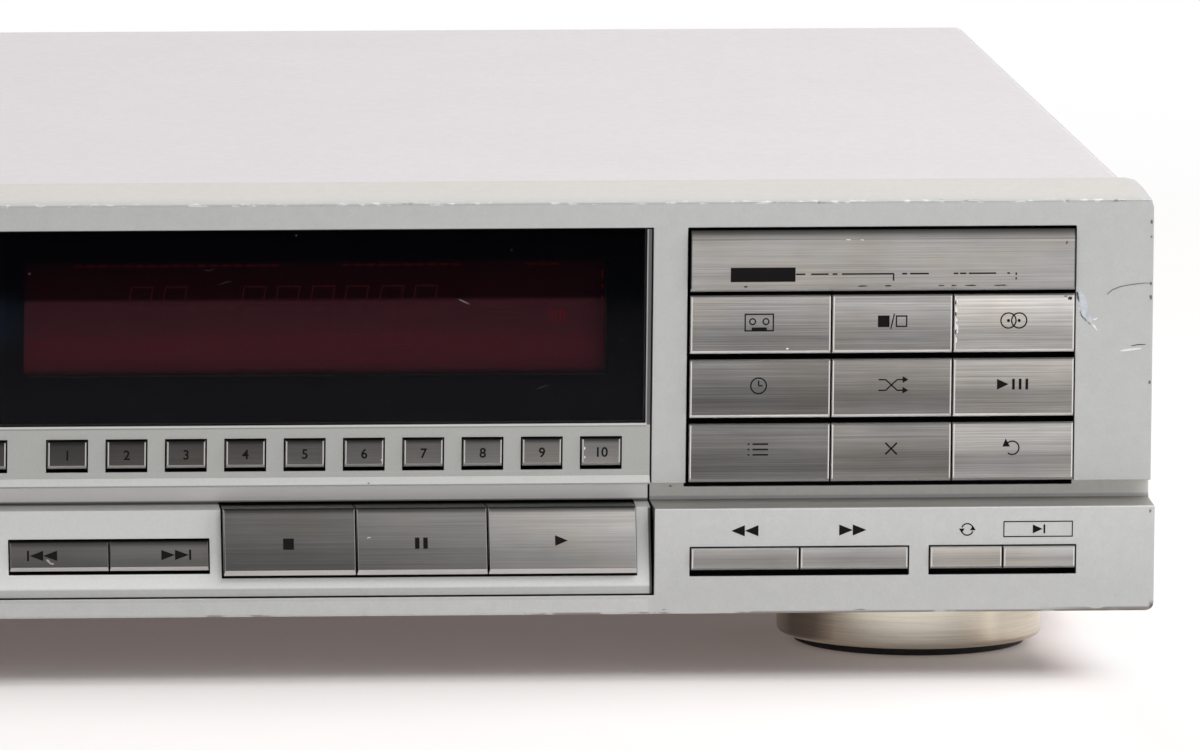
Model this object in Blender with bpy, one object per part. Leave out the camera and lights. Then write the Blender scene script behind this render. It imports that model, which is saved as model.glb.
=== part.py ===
"""A silver front-loading disc player, modelled piece by piece at its real size.

Metres, +Z up, +X to the right as seen from the front, +Y towards the back.
The origin is on the surface that the player stands on, under the middle of the whole object.
Inside the script, places are measured from the upper front plane (y), the fascia's bottom edge (z)
and the middle of the fascia (x).
The front is laid out from its left end to its right and from its bottom edge up, so its width and
height follow from what it carries; the inside follows from the tray and the disc.
"""

import math

import bmesh
import bpy
from mathutils import Matrix, Vector

# Whole object
FASCIA_DEPTH = 0.022
FASCIA_TOP_RISE = 0.0020
FOOT_DROP = 0.0152
CASE_LENGTH = 0.2657
FIT = 0.0003
OVERRUN = 0.004
ROUND_SIDES = 48
SMALL_SIDES = 20
SMOOTH_ANGLE = math.radians(35)

# Fascia section: a groove parts the upper front from the lower front, which stands further out
WALL = 0.003
LOWER_PROUD = 0.0071
LOWER_TOP = 0.0235
GROOVE_SLOPE = 0.0006
GROOVE_HEIGHT = 0.0042
GROOVE_DEPTH = 0.0032
# Upper corners of its ends, as insets from the end and drops below the front's top edge
CORNER_SHAPE = ((0, 0.0018), (0.0005, 0.0001), (0.00085, -0.0011), (0.0014, -0.00155), (0.0042, -0.0021))
CORNER_ROUND = 0.0018
CORNER_ROUND_STEPS = 4
EDGE_BREAK = 0.0002

# Centre panel: key strip above the groove, sloping key bed below it
PANEL_MARGIN = 0.0180
PANEL_BOTTOM = 0.0042
PANEL_TOP_MARGIN = 0.00575
PANEL_GAP = 0.0004
PANEL_BACK = 0.0057
PANEL_WALL = 0.0025
STRIP_LIP = 0.0019
STRIP_LIP_PROUD = 0.0010
BED_TOP_REACH = 0.0018
BED_TOP_DROP = 0.0002
BED_LEDGE_RISE = 0.0009
BED_BOTTOM_REACH = 0.0063
BED_BOTTOM = 0.0065

# Display window and tube
WINDOW_TRAY_GAP = 0.0065
WINDOW_MARGIN = 0.0014
WINDOW_STRIP_GAP = 0.0029
WINDOW_REBATE = 0.0028
WINDOW_FRONT = 0.00005
VIEW_LEFT_MARGIN = 0.0131
VIEW_RIGHT_MARGIN = 0.0086
VIEW_BOTTOM_MARGIN = 0.0106
VIEW_TOP_MARGIN = 0.0074
TUBE_MARGIN = 0.0045
TUBE_PIN_MARGIN = 0.0012
TUBE_BOARD_GAP = 0.0006

# Tray front and its mouth
TRAY_FRONT_MARGIN = 0.0060
TRAY_FRONT_OVERHANG = 0.0010
TRAY_FRONT_DROP = 0.0032
TRAY_FRONT_TOP_MARGIN = 0.0019
TRAY_FRONT_PROUD = 0.0008
TRAY_FRONT_BACK = 0.0030
MOUTH_GAP = 0.0005
TRAY_TRAVEL = 0.145

# Keys: shared sizes
KEY_SIDE_GAP = 0.0003
KEY_SIDE_BEVEL = 0.0002
KEY_TOP_BEVEL = 0.0003
KEY_BEVEL_DEPTH = 0.0007
KEY_NEIGHBOUR_GAP = 0.0003
KEY_BACK = 0.0075
STEM_WIDTH = 0.0030
STEM_HEIGHT = 0.0024
STEM_END = 0.0115
KEY_TRAVEL = 0.0010

# Number keys in the key strip
NUMBER_KEYS = 10
NUMBER_PITCH = 0.013255
NUMBER_LEFT_MARGIN = 0.02266
NUMBER_RIGHT_MARGIN = 0.009945
NUMBER_OPENING_WIDTH = 0.00937
NUMBER_OPENING_HEIGHT = 0.0074
STRIP_MARGIN = 0.0033
NUMBER_LOWER_GAP = 0.0009
NUMBER_LOWER_BEVEL = 0.0007
NUMBER_PROUD = 0.0006
EXTRA_KEY_STEP = 0.0180
OPEN_KEY_STEP = 0.02766
OPEN_KEY_OPENING_WIDTH = 0.0240

# Keypad
KEYPAD_MARGIN = 0.0174
KEYPAD_PILLAR = 0.0077
KEYPAD_DIP = 0.00115
KEYPAD_LOWER_GAP = 0.00144
KEYPAD_PITCH = 0.01439
KEYPAD_ROW_GAP = 0.00133
KEYPAD_PLATE_GAP = 0.00085
KEYPAD_TOP_MARGIN = 0.00578
KEYPAD_WIDTHS = (0.03155, 0.02693, 0.02712)
KEYPAD_SIDE_GAP = 0.0006
KEYPAD_PROUD = 0.0010
KEYPAD_LOWER_BEVEL = 0.0007
PLATE_HEIGHT = 0.01374
PLATE_TOP_GAP = 0.0006
PLATE_TOP_BEVEL = 0.0019
PLATE_DEPTH = 0.0060
KEYPAD_NAMES = (
    ("tape_length_key", "tape_side_key", "disc_link_key"),
    ("time_mode_key", "random_key", "music_scan_key"),
    ("program_key", "clear_key", "recall_key"),
)

# Transport keys, which stand out of the sloping bed
TRANSPORT_MARGIN = 0.0036
TRANSPORT_BOTTOM = 0.0085
TRANSPORT_TOP_RISE = 0.0001
TRANSPORT_WIDTHS = (0.02945, 0.02915, 0.0331)
TRANSPORT_TOP_GAP = 0.0005
TRANSPORT_LOWER_GAP = 0.0008
TRANSPORT_TOP_REACH = 0.0036
TRANSPORT_BOTTOM_REACH = 0.0080
TRANSPORT_LOWER_BEVEL = 0.0012
TRANSPORT_NAMES = ("stop_key", "pause_key", "play_key")

# Skip keys and power button in the sloping bed
SKIP_TRANSPORT_GAP = 0.0026
SKIP_WIDTH = 0.0449
SKIP_BOTTOM = 0.0095
SKIP_HEIGHT = 0.0077
SKIP_TOP_GAP = 0.0005
SKIP_LOWER_GAP = 0.0008
SKIP_PROUD = 0.0006
SKIP_LOWER_BEVEL = 0.0009
POWER_MARGIN = 0.0080
POWER_WIDTH = 0.0260
POWER_TRAVEL = 0.0025

# Search and repeat keys in the lower front
LOWER_KEYS_INSET = 0.0002
LOWER_KEYS_BAR = 0.0044
REPEAT_WIDTH = 0.0331
LOWER_KEYS_BOTTOM = 0.0084
LOWER_KEYS_HEIGHT = 0.0066
LOWER_KEYS_PROUD = 0.0007
LOWER_KEYS_GAP = 0.0014
LOWER_KEYS_BEVEL = 0.0005

# Headphone jack
JACK_POWER_GAP = 0.0330
JACK_Z = 0.0132
JACK_RADIUS = 0.0055
JACK_BORE = 0.0033
JACK_FLANGE = 0.0068
JACK_FLANGE_THICK = 0.0012
JACK_BORE_LENGTH = 0.0200
JACK_CONTACTS = 0.0070

# Cover, base and rear panel
SHEET = 0.0010
BASE_SHEET = 0.0012
COVER_INSET = 0.00355
COVER_DROP = 0.0003
COVER_BOTTOM = 0.0012
COVER_CORNER = 0.0022
CORNER_STEPS = 4
BASE_BOTTOM = 0.0008
BASE_FLANGE = 0.0140
FRONT_WALL_DROP = 0.0051
FRONT_WALL_RETURN = 0.0015
TRAY_PORT_MARGIN = 0.0040
TRAY_PORT_DROP = 0.0050

# Feet
FOOT_MARGIN = 0.04185
FOOT_FRONT_Y = 0.0540
FOOT_REAR_INSET = 0.0400
FOOT_RADIUS = 0.0297
FOOT_CHAMFER = 0.0017
FOOT_PAD_STEP = 0.0018
FOOT_PAD_SHOW = 0.0017

# Disc, turntable and tray
DISC_RECESS_RADIUS = 0.0610
DISC_RECESS_DEPTH = 0.0047
SMALL_DISC_RADIUS = 0.0410
SMALL_DISC_DEPTH = 0.0008
TRAY_RIM = 0.0050
TRAY_BOTTOM = 0.0550
TRAY_THICK = 0.0070
SLOT_HALF_WIDTH = 0.0200
RACK_LEAD = 0.0080
RACK_SPARE = 0.0070
RACK_HEIGHT = 0.0028
RACK_BACKING = 0.0036

# Loader frame
LOADER_INSET = 0.0077
LOADER_CLEARANCE = 0.0004
LOADER_WALL = 0.0036
LOADER_TAIL = 0.0250
LOADER_ABOVE_TRAY = 0.0030
LEDGE_WIDTH = 0.0040
LEDGE_THICK = 0.0037
FLOOR_TOP = 0.0300
FLOOR_THICK = 0.0025
FLOOR_PORT_MARGIN = 0.0020
FLOOR_PORT_TAIL = 0.0150
BEARING_DECK_GAP = 0.0080
BEARING_WIDTH = 0.0060
BEARING_LENGTH = 0.0120
BEARING_TOP_WALL = 0.0028
HINGE_PIN_RADIUS = 0.0020
HINGE_PIN_SHORT = 0.0010
HINGE_CLEARANCE = 0.0003
HINGE_SETBACK = 0.0040
HINGE_LIFT = 0.0012

# Gears
GEAR_MODULE = 0.001
RACK_PINION_TEETH = 16
WHEEL_TEETH = 30
MOTOR_PINION_TEETH = 10
ADDENDUM = 0.0009
DEDENDUM = 0.00125
TOOTH_TIP = 0.00060
TOOTH_ROOT = 0.00170
GEAR_TRAY_INSET = 0.0220
GEAR_INSET = 0.0180
GEAR_DECK_GAP = 0.0090
WHEEL_RACK_GAP = 0.0037
WHEEL_THICK = 0.0045
PINION_TRAY_GAP = 0.0005
HUB_RADIUS = 0.0035
AXLE_RADIUS = 0.0015
GEAR_BORE_CLEARANCE = 0.0003
MOTOR_RADIUS = 0.0100
MOTOR_WHEEL_GAP = 0.0030
MOTOR_SHAFT_RADIUS = 0.0010
MOTOR_SHAFT_SHORT = 0.0005

# Optical deck, turntable and pickup
DECK_HALF_WIDTH = 0.0400
DECK_TAIL = 0.0130
DECK_TRAY_GAP = 0.0065
DECK_SHEET = 0.0025
DECK_EAR_WIDTH = 0.0060
SPINDLE_INSET = 0.0230
SPINDLE_MOTOR_RADIUS = 0.0120
SPINDLE_MOTOR_HEIGHT = 0.0110
TURNTABLE_RADIUS = 0.0150
TURNTABLE_HUB = 0.0060
TURNTABLE_HUB_HEIGHT = 0.0080
TURNTABLE_THICK = 0.0025
CONE_RADIUS = 0.0073
CONE_TIP_RADIUS = 0.0050
CONE_HEIGHT = 0.0023
SLED_GAP = 0.0070
SLED_LEFT = -0.0200
SLED_RIGHT = 0.0280
SLED_LENGTH = 0.0240
SLED_LIFT = 0.0006
SLED_HEIGHT = 0.0046
SLED_TRAVEL = 0.036
LENS_RADIUS = 0.0035
LENS_RISE = 0.0010
LENS_HOUSING_RADIUS = 0.0065
LENS_HOUSING_RISE = 0.0013
RAIL_X = 0.0220
RAIL_LIFT = 0.0028
RAIL_RADIUS = 0.0015
RAIL_CLEARANCE = 0.0003
RAIL_LEAD = 0.0070
RAIL_SPARE = 0.0020
RAIL_POST_HALF_WIDTH = 0.0030
RAIL_POST_THICK = 0.0030

# Clamp
BRIDGE_HALF_LENGTH = 0.0350
BRIDGE_SHEET = 0.0012
CLAMP_HOLE_RADIUS = 0.0120
CLAMP_NECK_RADIUS = 0.0100
CLAMP_FLANGE_RADIUS = 0.0150
CLAMP_FLANGE_THICK = 0.0016
CLAMP_PAD_RADIUS = 0.0140
CLAMP_PAD_GAP = 0.0011

# Boards, transformer and rear connectors
BOARD_THICK = 0.0016
BOARD_STEM_GAP = 0.0005
BOARD_LEFT_MARGIN = 0.0015
BOARD_RIGHT_MARGIN = 0.0074
BOARD_TOP_MARGIN = 0.0054
MAIN_BOARD_LOADER_GAP = 0.0240
MAIN_BOARD_MARGIN = 0.02015
MAIN_BOARD_FRONT = 0.0700
MAIN_BOARD_COIL_GAP = 0.0220
STANDOFF_HEIGHT = 0.0060
STANDOFF_SIZE = 0.0080
STANDOFF_INSET = 0.0100
CAPACITOR_RADIUS = 0.0080
CAPACITOR_HEIGHT = 0.0280
CAPACITOR_PLACES_SHARES = ((0.12, 0.80), (0.24, 0.80), (0.36, 0.80))
CHIP_SIZE = (0.0240, 0.0240, 0.0030)
CHIP_PLACES_SHARES = ((0.35, 0.35), (0.70, 0.40))
HEAT_SINK_SIZE = (0.0500, 0.0120, 0.0300)
HEAT_SINK_PLACE_SHARES = (0.75, 0.85)
TRANSFORMER_MARGIN = 0.06015
TRANSFORMER_INSET = 0.0440
TRANSFORMER_CORE = (0.0600, 0.0220, 0.0500)
TRANSFORMER_COIL = (0.0380, 0.0440, 0.0340)
TRANSFORMER_FOOT = (0.0760, 0.0220, 0.0020)
SOCKETS_TRAY_OFFSET = 0.0140
SOCKETS_Z = 0.0500
SOCKET_PITCH = 0.0180
SOCKET_RADIUS = 0.0042
SOCKET_REACH = 0.0080
SOCKET_BORE = 0.0016
SOCKET_BLOCK = (0.0420, 0.0120, 0.0180)
INLET_Z = 0.0300
INLET_WIDTH = 0.0200
INLET_HEIGHT = 0.0120
INLET_WALL = 0.0015
INLET_DEPTH = 0.0140
INLET_LENGTH = 0.0180
INLET_RIM = 0.0020
INLET_PIN_RADIUS = 0.0012
INLET_PIN_SPREAD = 0.0043

# Heights of the front, from the bottom edge up
GROOVE_FLOOR = LOWER_TOP + GROOVE_SLOPE
GROOVE_TOP = GROOVE_FLOOR + GROOVE_HEIGHT
KEYPAD_BOTTOM = GROOVE_TOP - KEYPAD_DIP
KEYPAD_KEY_HEIGHT = KEYPAD_PITCH - KEYPAD_ROW_GAP
KEYPAD_ROWS_HEIGHT = len(KEYPAD_NAMES) * KEYPAD_PITCH - KEYPAD_ROW_GAP
KEYPAD_FIRST_TOP = KEYPAD_BOTTOM + KEYPAD_LOWER_GAP + KEYPAD_ROWS_HEIGHT
PLATE_BOTTOM = KEYPAD_FIRST_TOP + KEYPAD_PLATE_GAP
PLATE_TOP = PLATE_BOTTOM + PLATE_HEIGHT
KEYPAD_TOP = PLATE_TOP + PLATE_TOP_GAP
FASCIA_TOP_FRONT = KEYPAD_TOP + KEYPAD_TOP_MARGIN
FASCIA_TOP_BACK = FASCIA_TOP_FRONT + FASCIA_TOP_RISE
PANEL_TOP = FASCIA_TOP_FRONT - PANEL_TOP_MARGIN
STRIP_LIP_TOP = GROOVE_TOP + STRIP_LIP
NUMBER_OPENING_BOTTOM = GROOVE_TOP + STRIP_MARGIN
NUMBER_OPENING_TOP = NUMBER_OPENING_BOTTOM + NUMBER_OPENING_HEIGHT
WINDOW_BOTTOM = NUMBER_OPENING_TOP + WINDOW_STRIP_GAP
VIEW_BOTTOM = WINDOW_BOTTOM + VIEW_BOTTOM_MARGIN
VIEW_TOP = PANEL_TOP - VIEW_TOP_MARGIN
BED_TOP = LOWER_TOP - BED_TOP_DROP
BED_LEDGE = BED_TOP + BED_LEDGE_RISE
TRANSPORT_TOP = BED_LEDGE + TRANSPORT_TOP_RISE
SKIP_TOP = SKIP_BOTTOM + SKIP_HEIGHT
LOWER_KEYS_TOP = LOWER_KEYS_BOTTOM + LOWER_KEYS_HEIGHT

# Widths of the front, from the left end to the right
TRAY_HALF_WIDTH = DISC_RECESS_RADIUS + TRAY_RIM
TRAY_FRONT_WIDTH = 2 * (TRAY_HALF_WIDTH + TRAY_FRONT_OVERHANG)
WINDOW_WIDTH = NUMBER_LEFT_MARGIN + (NUMBER_KEYS - 1) * NUMBER_PITCH + NUMBER_RIGHT_MARGIN
KEYPAD_GAPS = KEYPAD_SIDE_GAP + KEY_SIDE_GAP + (len(KEYPAD_WIDTHS) - 1) * KEY_NEIGHBOUR_GAP
KEYPAD_WIDTH = sum(KEYPAD_WIDTHS) + KEYPAD_GAPS
PANEL_WIDTH = TRAY_FRONT_MARGIN + TRAY_FRONT_WIDTH + WINDOW_TRAY_GAP + WINDOW_WIDTH + WINDOW_MARGIN
FASCIA_WIDTH = PANEL_MARGIN + PANEL_WIDTH + KEYPAD_PILLAR + KEYPAD_WIDTH + KEYPAD_MARGIN
FASCIA_HALF = FASCIA_WIDTH / 2
PANEL_LEFT = PANEL_MARGIN - FASCIA_HALF
PANEL_RIGHT = PANEL_LEFT + PANEL_WIDTH
TRAY_MIDDLE = PANEL_LEFT + TRAY_FRONT_MARGIN + TRAY_FRONT_WIDTH / 2
WINDOW_RIGHT = PANEL_RIGHT - WINDOW_MARGIN
WINDOW_LEFT = WINDOW_RIGHT - WINDOW_WIDTH
VIEW_LEFT = WINDOW_LEFT + VIEW_LEFT_MARGIN
VIEW_RIGHT = WINDOW_RIGHT - VIEW_RIGHT_MARGIN
NUMBER_FIRST_X = WINDOW_LEFT + NUMBER_LEFT_MARGIN
EXTRA_KEY_X = NUMBER_FIRST_X - EXTRA_KEY_STEP
OPEN_KEY_X = EXTRA_KEY_X - OPEN_KEY_STEP
KEYPAD_RIGHT = FASCIA_HALF - KEYPAD_MARGIN
KEYPAD_LEFT = KEYPAD_RIGHT - KEYPAD_WIDTH
TRANSPORT_GAPS = 2 * KEY_SIDE_GAP + (len(TRANSPORT_WIDTHS) - 1) * KEY_NEIGHBOUR_GAP
TRANSPORT_RIGHT = PANEL_RIGHT - TRANSPORT_MARGIN
TRANSPORT_LEFT = TRANSPORT_RIGHT - sum(TRANSPORT_WIDTHS) - TRANSPORT_GAPS
SKIP_RIGHT = TRANSPORT_LEFT - SKIP_TRANSPORT_GAP
SKIP_LEFT = SKIP_RIGHT - SKIP_WIDTH
POWER_LEFT = PANEL_LEFT + POWER_MARGIN
JACK_X = POWER_LEFT + POWER_WIDTH + JACK_POWER_GAP
SEARCH_LEFT = KEYPAD_LEFT + LOWER_KEYS_INSET
REPEAT_RIGHT = KEYPAD_RIGHT - LOWER_KEYS_INSET
REPEAT_LEFT = REPEAT_RIGHT - REPEAT_WIDTH
SEARCH_RIGHT = REPEAT_LEFT - LOWER_KEYS_BAR

# Case
CASE_FRONT = FASCIA_DEPTH + FIT
CASE_BACK = CASE_FRONT + CASE_LENGTH
REAR_REACH = CASE_BACK + SOCKET_REACH
FRONT_REACH = TRANSPORT_BOTTOM_REACH
FRONT_PLANE = (FRONT_REACH - REAR_REACH) / 2
COVER_HALF_WIDTH = FASCIA_HALF - COVER_INSET
COVER_TOP = FASCIA_TOP_BACK - COVER_DROP
BASE_HALF = COVER_HALF_WIDTH - SHEET - FIT
BASE_TOP = BASE_BOTTOM + BASE_SHEET
FRONT_WALL_TOP = COVER_TOP - FRONT_WALL_DROP
REAR_PANEL_FRONT = CASE_BACK - BASE_SHEET
FOOT_X = BASE_HALF - FOOT_MARGIN
FOOT_RING_BOTTOM = FOOT_DROP - FOOT_PAD_SHOW
FOOT_WALL_BOTTOM = FOOT_RING_BOTTOM - FOOT_CHAMFER
FOOT_PAD_RADIUS = FOOT_RADIUS - FOOT_CHAMFER - FOOT_PAD_STEP
JACK_LENGTH = JACK_BORE_LENGTH + JACK_CONTACTS

# Heights of the tray and what works under and over it
TRAY_TOP = TRAY_BOTTOM + TRAY_THICK
TRAY_FRONT_BOTTOM = TRAY_BOTTOM - TRAY_FRONT_DROP
TRAY_FRONT_TOP = PANEL_TOP - TRAY_FRONT_TOP_MARGIN
TRAY_PORT_BOTTOM = TRAY_BOTTOM - TRAY_PORT_DROP
TRAY_PORT_TOP = TRAY_TOP + TRAY_PORT_MARGIN
DISC_RECESS_FLOOR = TRAY_TOP - DISC_RECESS_DEPTH
SMALL_DISC_FLOOR = DISC_RECESS_FLOOR - SMALL_DISC_DEPTH
LEDGE_TOP = TRAY_BOTTOM - FIT
LOADER_TOP = TRAY_TOP + LOADER_ABOVE_TRAY
PINION_TOP = TRAY_BOTTOM - PINION_TRAY_GAP
WHEEL_TOP = TRAY_BOTTOM - RACK_HEIGHT - WHEEL_RACK_GAP
WHEEL_BOTTOM = WHEEL_TOP - WHEEL_THICK
MOTOR_TOP = WHEEL_BOTTOM - MOTOR_WHEEL_GAP
MOTOR_SHAFT_TOP = WHEEL_TOP - MOTOR_SHAFT_SHORT
DECK_TOP = TRAY_BOTTOM - DECK_TRAY_GAP
DECK_BOTTOM = DECK_TOP - DECK_SHEET
HINGE_Z = DECK_BOTTOM + HINGE_LIFT
SPINDLE_MOTOR_BOTTOM = DECK_BOTTOM - SPINDLE_MOTOR_HEIGHT
TURNTABLE_BOTTOM = DECK_TOP + TURNTABLE_HUB_HEIGHT
TURNTABLE_TOP = TURNTABLE_BOTTOM + TURNTABLE_THICK
CONE_TOP = TURNTABLE_TOP + CONE_HEIGHT
CLAMP_PAD_BOTTOM = CONE_TOP + CLAMP_PAD_GAP
LENS_HOUSING_TOP = DECK_TOP + SLED_LIFT + SLED_HEIGHT + LENS_HOUSING_RISE
LENS_TOP = LENS_HOUSING_TOP + LENS_RISE
RAIL_Z = DECK_TOP + RAIL_LIFT

# Places of the loader, gears and deck, from the loader's front backwards
RACK_RADIUS = GEAR_MODULE * RACK_PINION_TEETH / 2
WHEEL_RADIUS = GEAR_MODULE * WHEEL_TEETH / 2
MOTOR_PINION_RADIUS = GEAR_MODULE * MOTOR_PINION_TEETH / 2
LOADER_FRONT = CASE_FRONT + LOADER_INSET
GEAR_Y = LOADER_FRONT + GEAR_INSET
GEAR_AXIS = (TRAY_MIDDLE - TRAY_HALF_WIDTH + GEAR_TRAY_INSET, GEAR_Y)
MOTOR_AXIS = (GEAR_AXIS[0] + WHEEL_RADIUS + MOTOR_PINION_RADIUS, GEAR_Y)
RACK_FRONT = GEAR_Y - RACK_LEAD
TRAY_BACK = GEAR_Y + TRAY_TRAVEL + RACK_SPARE
DECK_FRONT = GEAR_Y + WHEEL_RADIUS + GEAR_DECK_GAP
SLOT_FRONT = DECK_FRONT - FLOOR_PORT_MARGIN
FLOOR_PORT_FRONT = DECK_FRONT - FLOOR_PORT_MARGIN
SPINDLE_Y = DECK_FRONT + SPINDLE_INSET
SPINDLE = (TRAY_MIDDLE, SPINDLE_Y)
SLED_FRONT = SPINDLE_Y + TURNTABLE_HUB + SLED_GAP
RAIL_FRONT = SLED_FRONT - RAIL_LEAD
RAIL_BACK = SLED_FRONT + SLED_LENGTH + SLED_TRAVEL + RAIL_SPARE + RAIL_POST_THICK
DECK_BACK = RAIL_BACK + DECK_TAIL
HINGE_Y = DECK_BACK + HINGE_SETBACK
FLOOR_PORT_BACK = HINGE_Y + FLOOR_PORT_TAIL
LOADER_BACK = HINGE_Y + LOADER_TAIL
LOADER_HALF_WIDTH = TRAY_HALF_WIDTH + LOADER_CLEARANCE + LOADER_WALL
BEARING_INNER = DECK_HALF_WIDTH + BEARING_DECK_GAP
FLOOR_PORT_HALF_WIDTH = BEARING_INNER - FLOOR_PORT_MARGIN
DECK_PIN_REACH = BEARING_INNER + BEARING_WIDTH - HINGE_PIN_SHORT
BRIDGE_FRONT = SPINDLE_Y - BRIDGE_HALF_LENGTH
BRIDGE_BACK = SPINDLE_Y + BRIDGE_HALF_LENGTH

# Places of the boards, transformer and rear connectors
BOARD_FRONT = STEM_END + KEY_TRAVEL + BOARD_STEM_GAP
BOARD_LEFT = WINDOW_LEFT - BOARD_LEFT_MARGIN
BOARD_RIGHT = KEYPAD_RIGHT + BOARD_RIGHT_MARGIN
BOARD_TOP = FASCIA_TOP_FRONT - BOARD_TOP_MARGIN
TRANSFORMER_X = BASE_HALF - TRANSFORMER_MARGIN
TRANSFORMER_Y = CASE_BACK - TRANSFORMER_INSET
MAIN_BOARD_LEFT = TRAY_MIDDLE + LOADER_HALF_WIDTH + MAIN_BOARD_LOADER_GAP
MAIN_BOARD_RIGHT = BASE_HALF - MAIN_BOARD_MARGIN
MAIN_BOARD_BACK = TRANSFORMER_Y - TRANSFORMER_COIL[1] / 2 - MAIN_BOARD_COIL_GAP
SOCKETS_X = TRAY_MIDDLE + SOCKETS_TRAY_OFFSET
INLET_X = TRANSFORMER_X

# Colours, roughness and metal of each finish
SILVER_PAINT = ("silver_paint", (0.53, 0.53, 0.52), 0.42, 0.35)
COVER_PAINT = ("cover_paint", (0.62, 0.61, 0.61), 0.50, 0.30)
BRUSHED = ("brushed_key", (0.42, 0.41, 0.40), 0.32, 0.85)
DARK_BRUSHED = ("dark_brushed_key", (0.20, 0.20, 0.20), 0.34, 0.80)
WINDOW = ("window", (0.010, 0.010, 0.013), 0.08, 0.0)
TUBE = ("display_tube", (0.09, 0.015, 0.02), 0.20, 0.0)
CHAMPAGNE = ("champagne_metal", (0.50, 0.44, 0.36), 0.30, 0.90)
STEEL = ("steel", (0.55, 0.56, 0.57), 0.38, 0.90)
BLACK = ("black_plastic", (0.025, 0.025, 0.028), 0.45, 0.0)
GEAR_WHITE = ("gear_plastic", (0.72, 0.70, 0.64), 0.45, 0.0)
BOARD_GREEN = ("board", (0.10, 0.20, 0.08), 0.55, 0.0)
CORE_STEEL = ("core_steel", (0.20, 0.19, 0.18), 0.50, 0.70)


def clear_scene():
    for obj in list(bpy.data.objects):
        bpy.data.objects.remove(obj, do_unlink=True)


def finish(look):
    """One shared material for each finish."""
    name, colour, roughness, metallic = look
    material = bpy.data.materials.get(name)
    if material is None:
        material = bpy.data.materials.new(name)
        material.use_nodes = True
        shader = material.node_tree.nodes["Principled BSDF"]
        shader.inputs["Base Color"].default_value = (*colour, 1.0)
        shader.inputs["Roughness"].default_value = roughness
        shader.inputs["Metallic"].default_value = metallic
    return material


def make(name, bm, look=None, pivot=(0, 0, 0)):
    """Turn the mesh into an object whose origin is at the pivot; no look makes a hidden tool."""
    bmesh.ops.recalc_face_normals(bm, faces=bm.faces)
    bmesh.ops.translate(bm, verts=bm.verts, vec=-Vector(pivot))
    mesh = bpy.data.meshes.new(name)
    bm.to_mesh(mesh)
    bm.free()
    obj = bpy.data.objects.new(name, mesh)
    bpy.context.scene.collection.objects.link(obj)
    obj.location = Vector(pivot) + Vector((0, FRONT_PLANE, FOOT_DROP))
    if look is None:
        obj.hide_render = True
        obj.display_type = "WIRE"
    else:
        mesh.materials.append(finish(look))
        mesh.shade_smooth()
        mesh.set_sharp_from_angle(angle=SMOOTH_ANGLE)
    return obj


def block(bm, low, high):
    """Add a box between two corners."""
    low, high = Vector(low), Vector(high)
    middle = Matrix.Translation((low + high) / 2)
    bmesh.ops.create_cube(bm, size=1, matrix=middle @ Matrix.Diagonal((*(high - low), 1)))


def boxes(name, pairs, look=None, pivot=(0, 0, 0)):
    bm = bmesh.new()
    for low, high in pairs:
        block(bm, low, high)
    return make(name, bm, look, pivot)


def prism(bm, outline, low, high, axis):
    """Extrude an outline along X, Y or Z; the outline's two values are the other two axes in order."""

    def corner(point, along):
        values = list(point)
        values.insert("XYZ".index(axis), along)
        return bm.verts.new(values)

    near = [corner(point, low) for point in outline]
    far = [corner(point, high) for point in outline]
    bm.faces.new(near)
    bm.faces.new(far)
    for i in range(len(outline)):
        j = (i + 1) % len(outline)
        bm.faces.new((near[i], near[j], far[j], far[i]))


def extruded(name, outline, low, high, axis, look=None, pivot=(0, 0, 0)):
    bm = bmesh.new()
    prism(bm, outline, low, high, axis)
    return make(name, bm, look, pivot)


def turn(bm, profile, centre, axis="Z", sides=ROUND_SIDES):
    """Add the solid that a closed profile of (radius, height) sweeps about an axis through centre."""
    first, second = [i for i in range(3) if i != "XYZ".index(axis)]
    rings = []
    for radius, height in profile:
        ring = []
        for step in range(sides if radius > 0 else 1):
            angle = 2 * math.pi * step / sides
            point = [0, 0, 0]
            point["XYZ".index(axis)] = height
            point[first] = centre[0] + radius * math.cos(angle)
            point[second] = centre[1] + radius * math.sin(angle)
            ring.append(bm.verts.new(point))
        rings.append(ring)
    closed = profile[0][0] > 0
    pairs = list(zip(rings, rings[1:]))
    if closed:
        pairs.append((rings[-1], rings[0]))
    for lower, upper in pairs:
        for i in range(sides):
            j = (i + 1) % sides
            quad = [
                lower[i % len(lower)], lower[j % len(lower)],
                upper[j % len(upper)], upper[i % len(upper)],
            ]
            corners = list(dict.fromkeys(quad))
            if len(corners) > 2:
                bm.faces.new(corners)


def turned(name, profile, centre, axis="Z", look=None, pivot=(0, 0, 0), sides=ROUND_SIDES):
    bm = bmesh.new()
    turn(bm, profile, centre, axis, sides)
    return make(name, bm, look, pivot)


def rod(name, radius, low, high, centre, axis="Z", look=None, sides=SMALL_SIDES):
    profile = ((0, low), (radius, low), (radius, high), (0, high))
    return turned(name, profile, centre, axis, look, sides=sides)


def change(obj, tool, operation):
    """Cut a tool out of an object, or join it on."""
    modifier = obj.modifiers.new(tool.name, "BOOLEAN")
    modifier.operation = operation
    modifier.object = tool
    modifier.solver = "EXACT"


def cut(obj, *tools):
    for tool in tools:
        change(obj, tool, "DIFFERENCE")


def join(obj, *tools):
    for tool in tools:
        change(obj, tool, "UNION")


def break_edges(obj, width=EDGE_BREAK):
    """A narrow chamfer on the sharp edges."""
    bevel = obj.modifiers.new("edge_break", "BEVEL")
    bevel.width = width
    bevel.segments = 1
    bevel.limit_method = "ANGLE"
    bevel.angle_limit = SMOOTH_ANGLE


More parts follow.
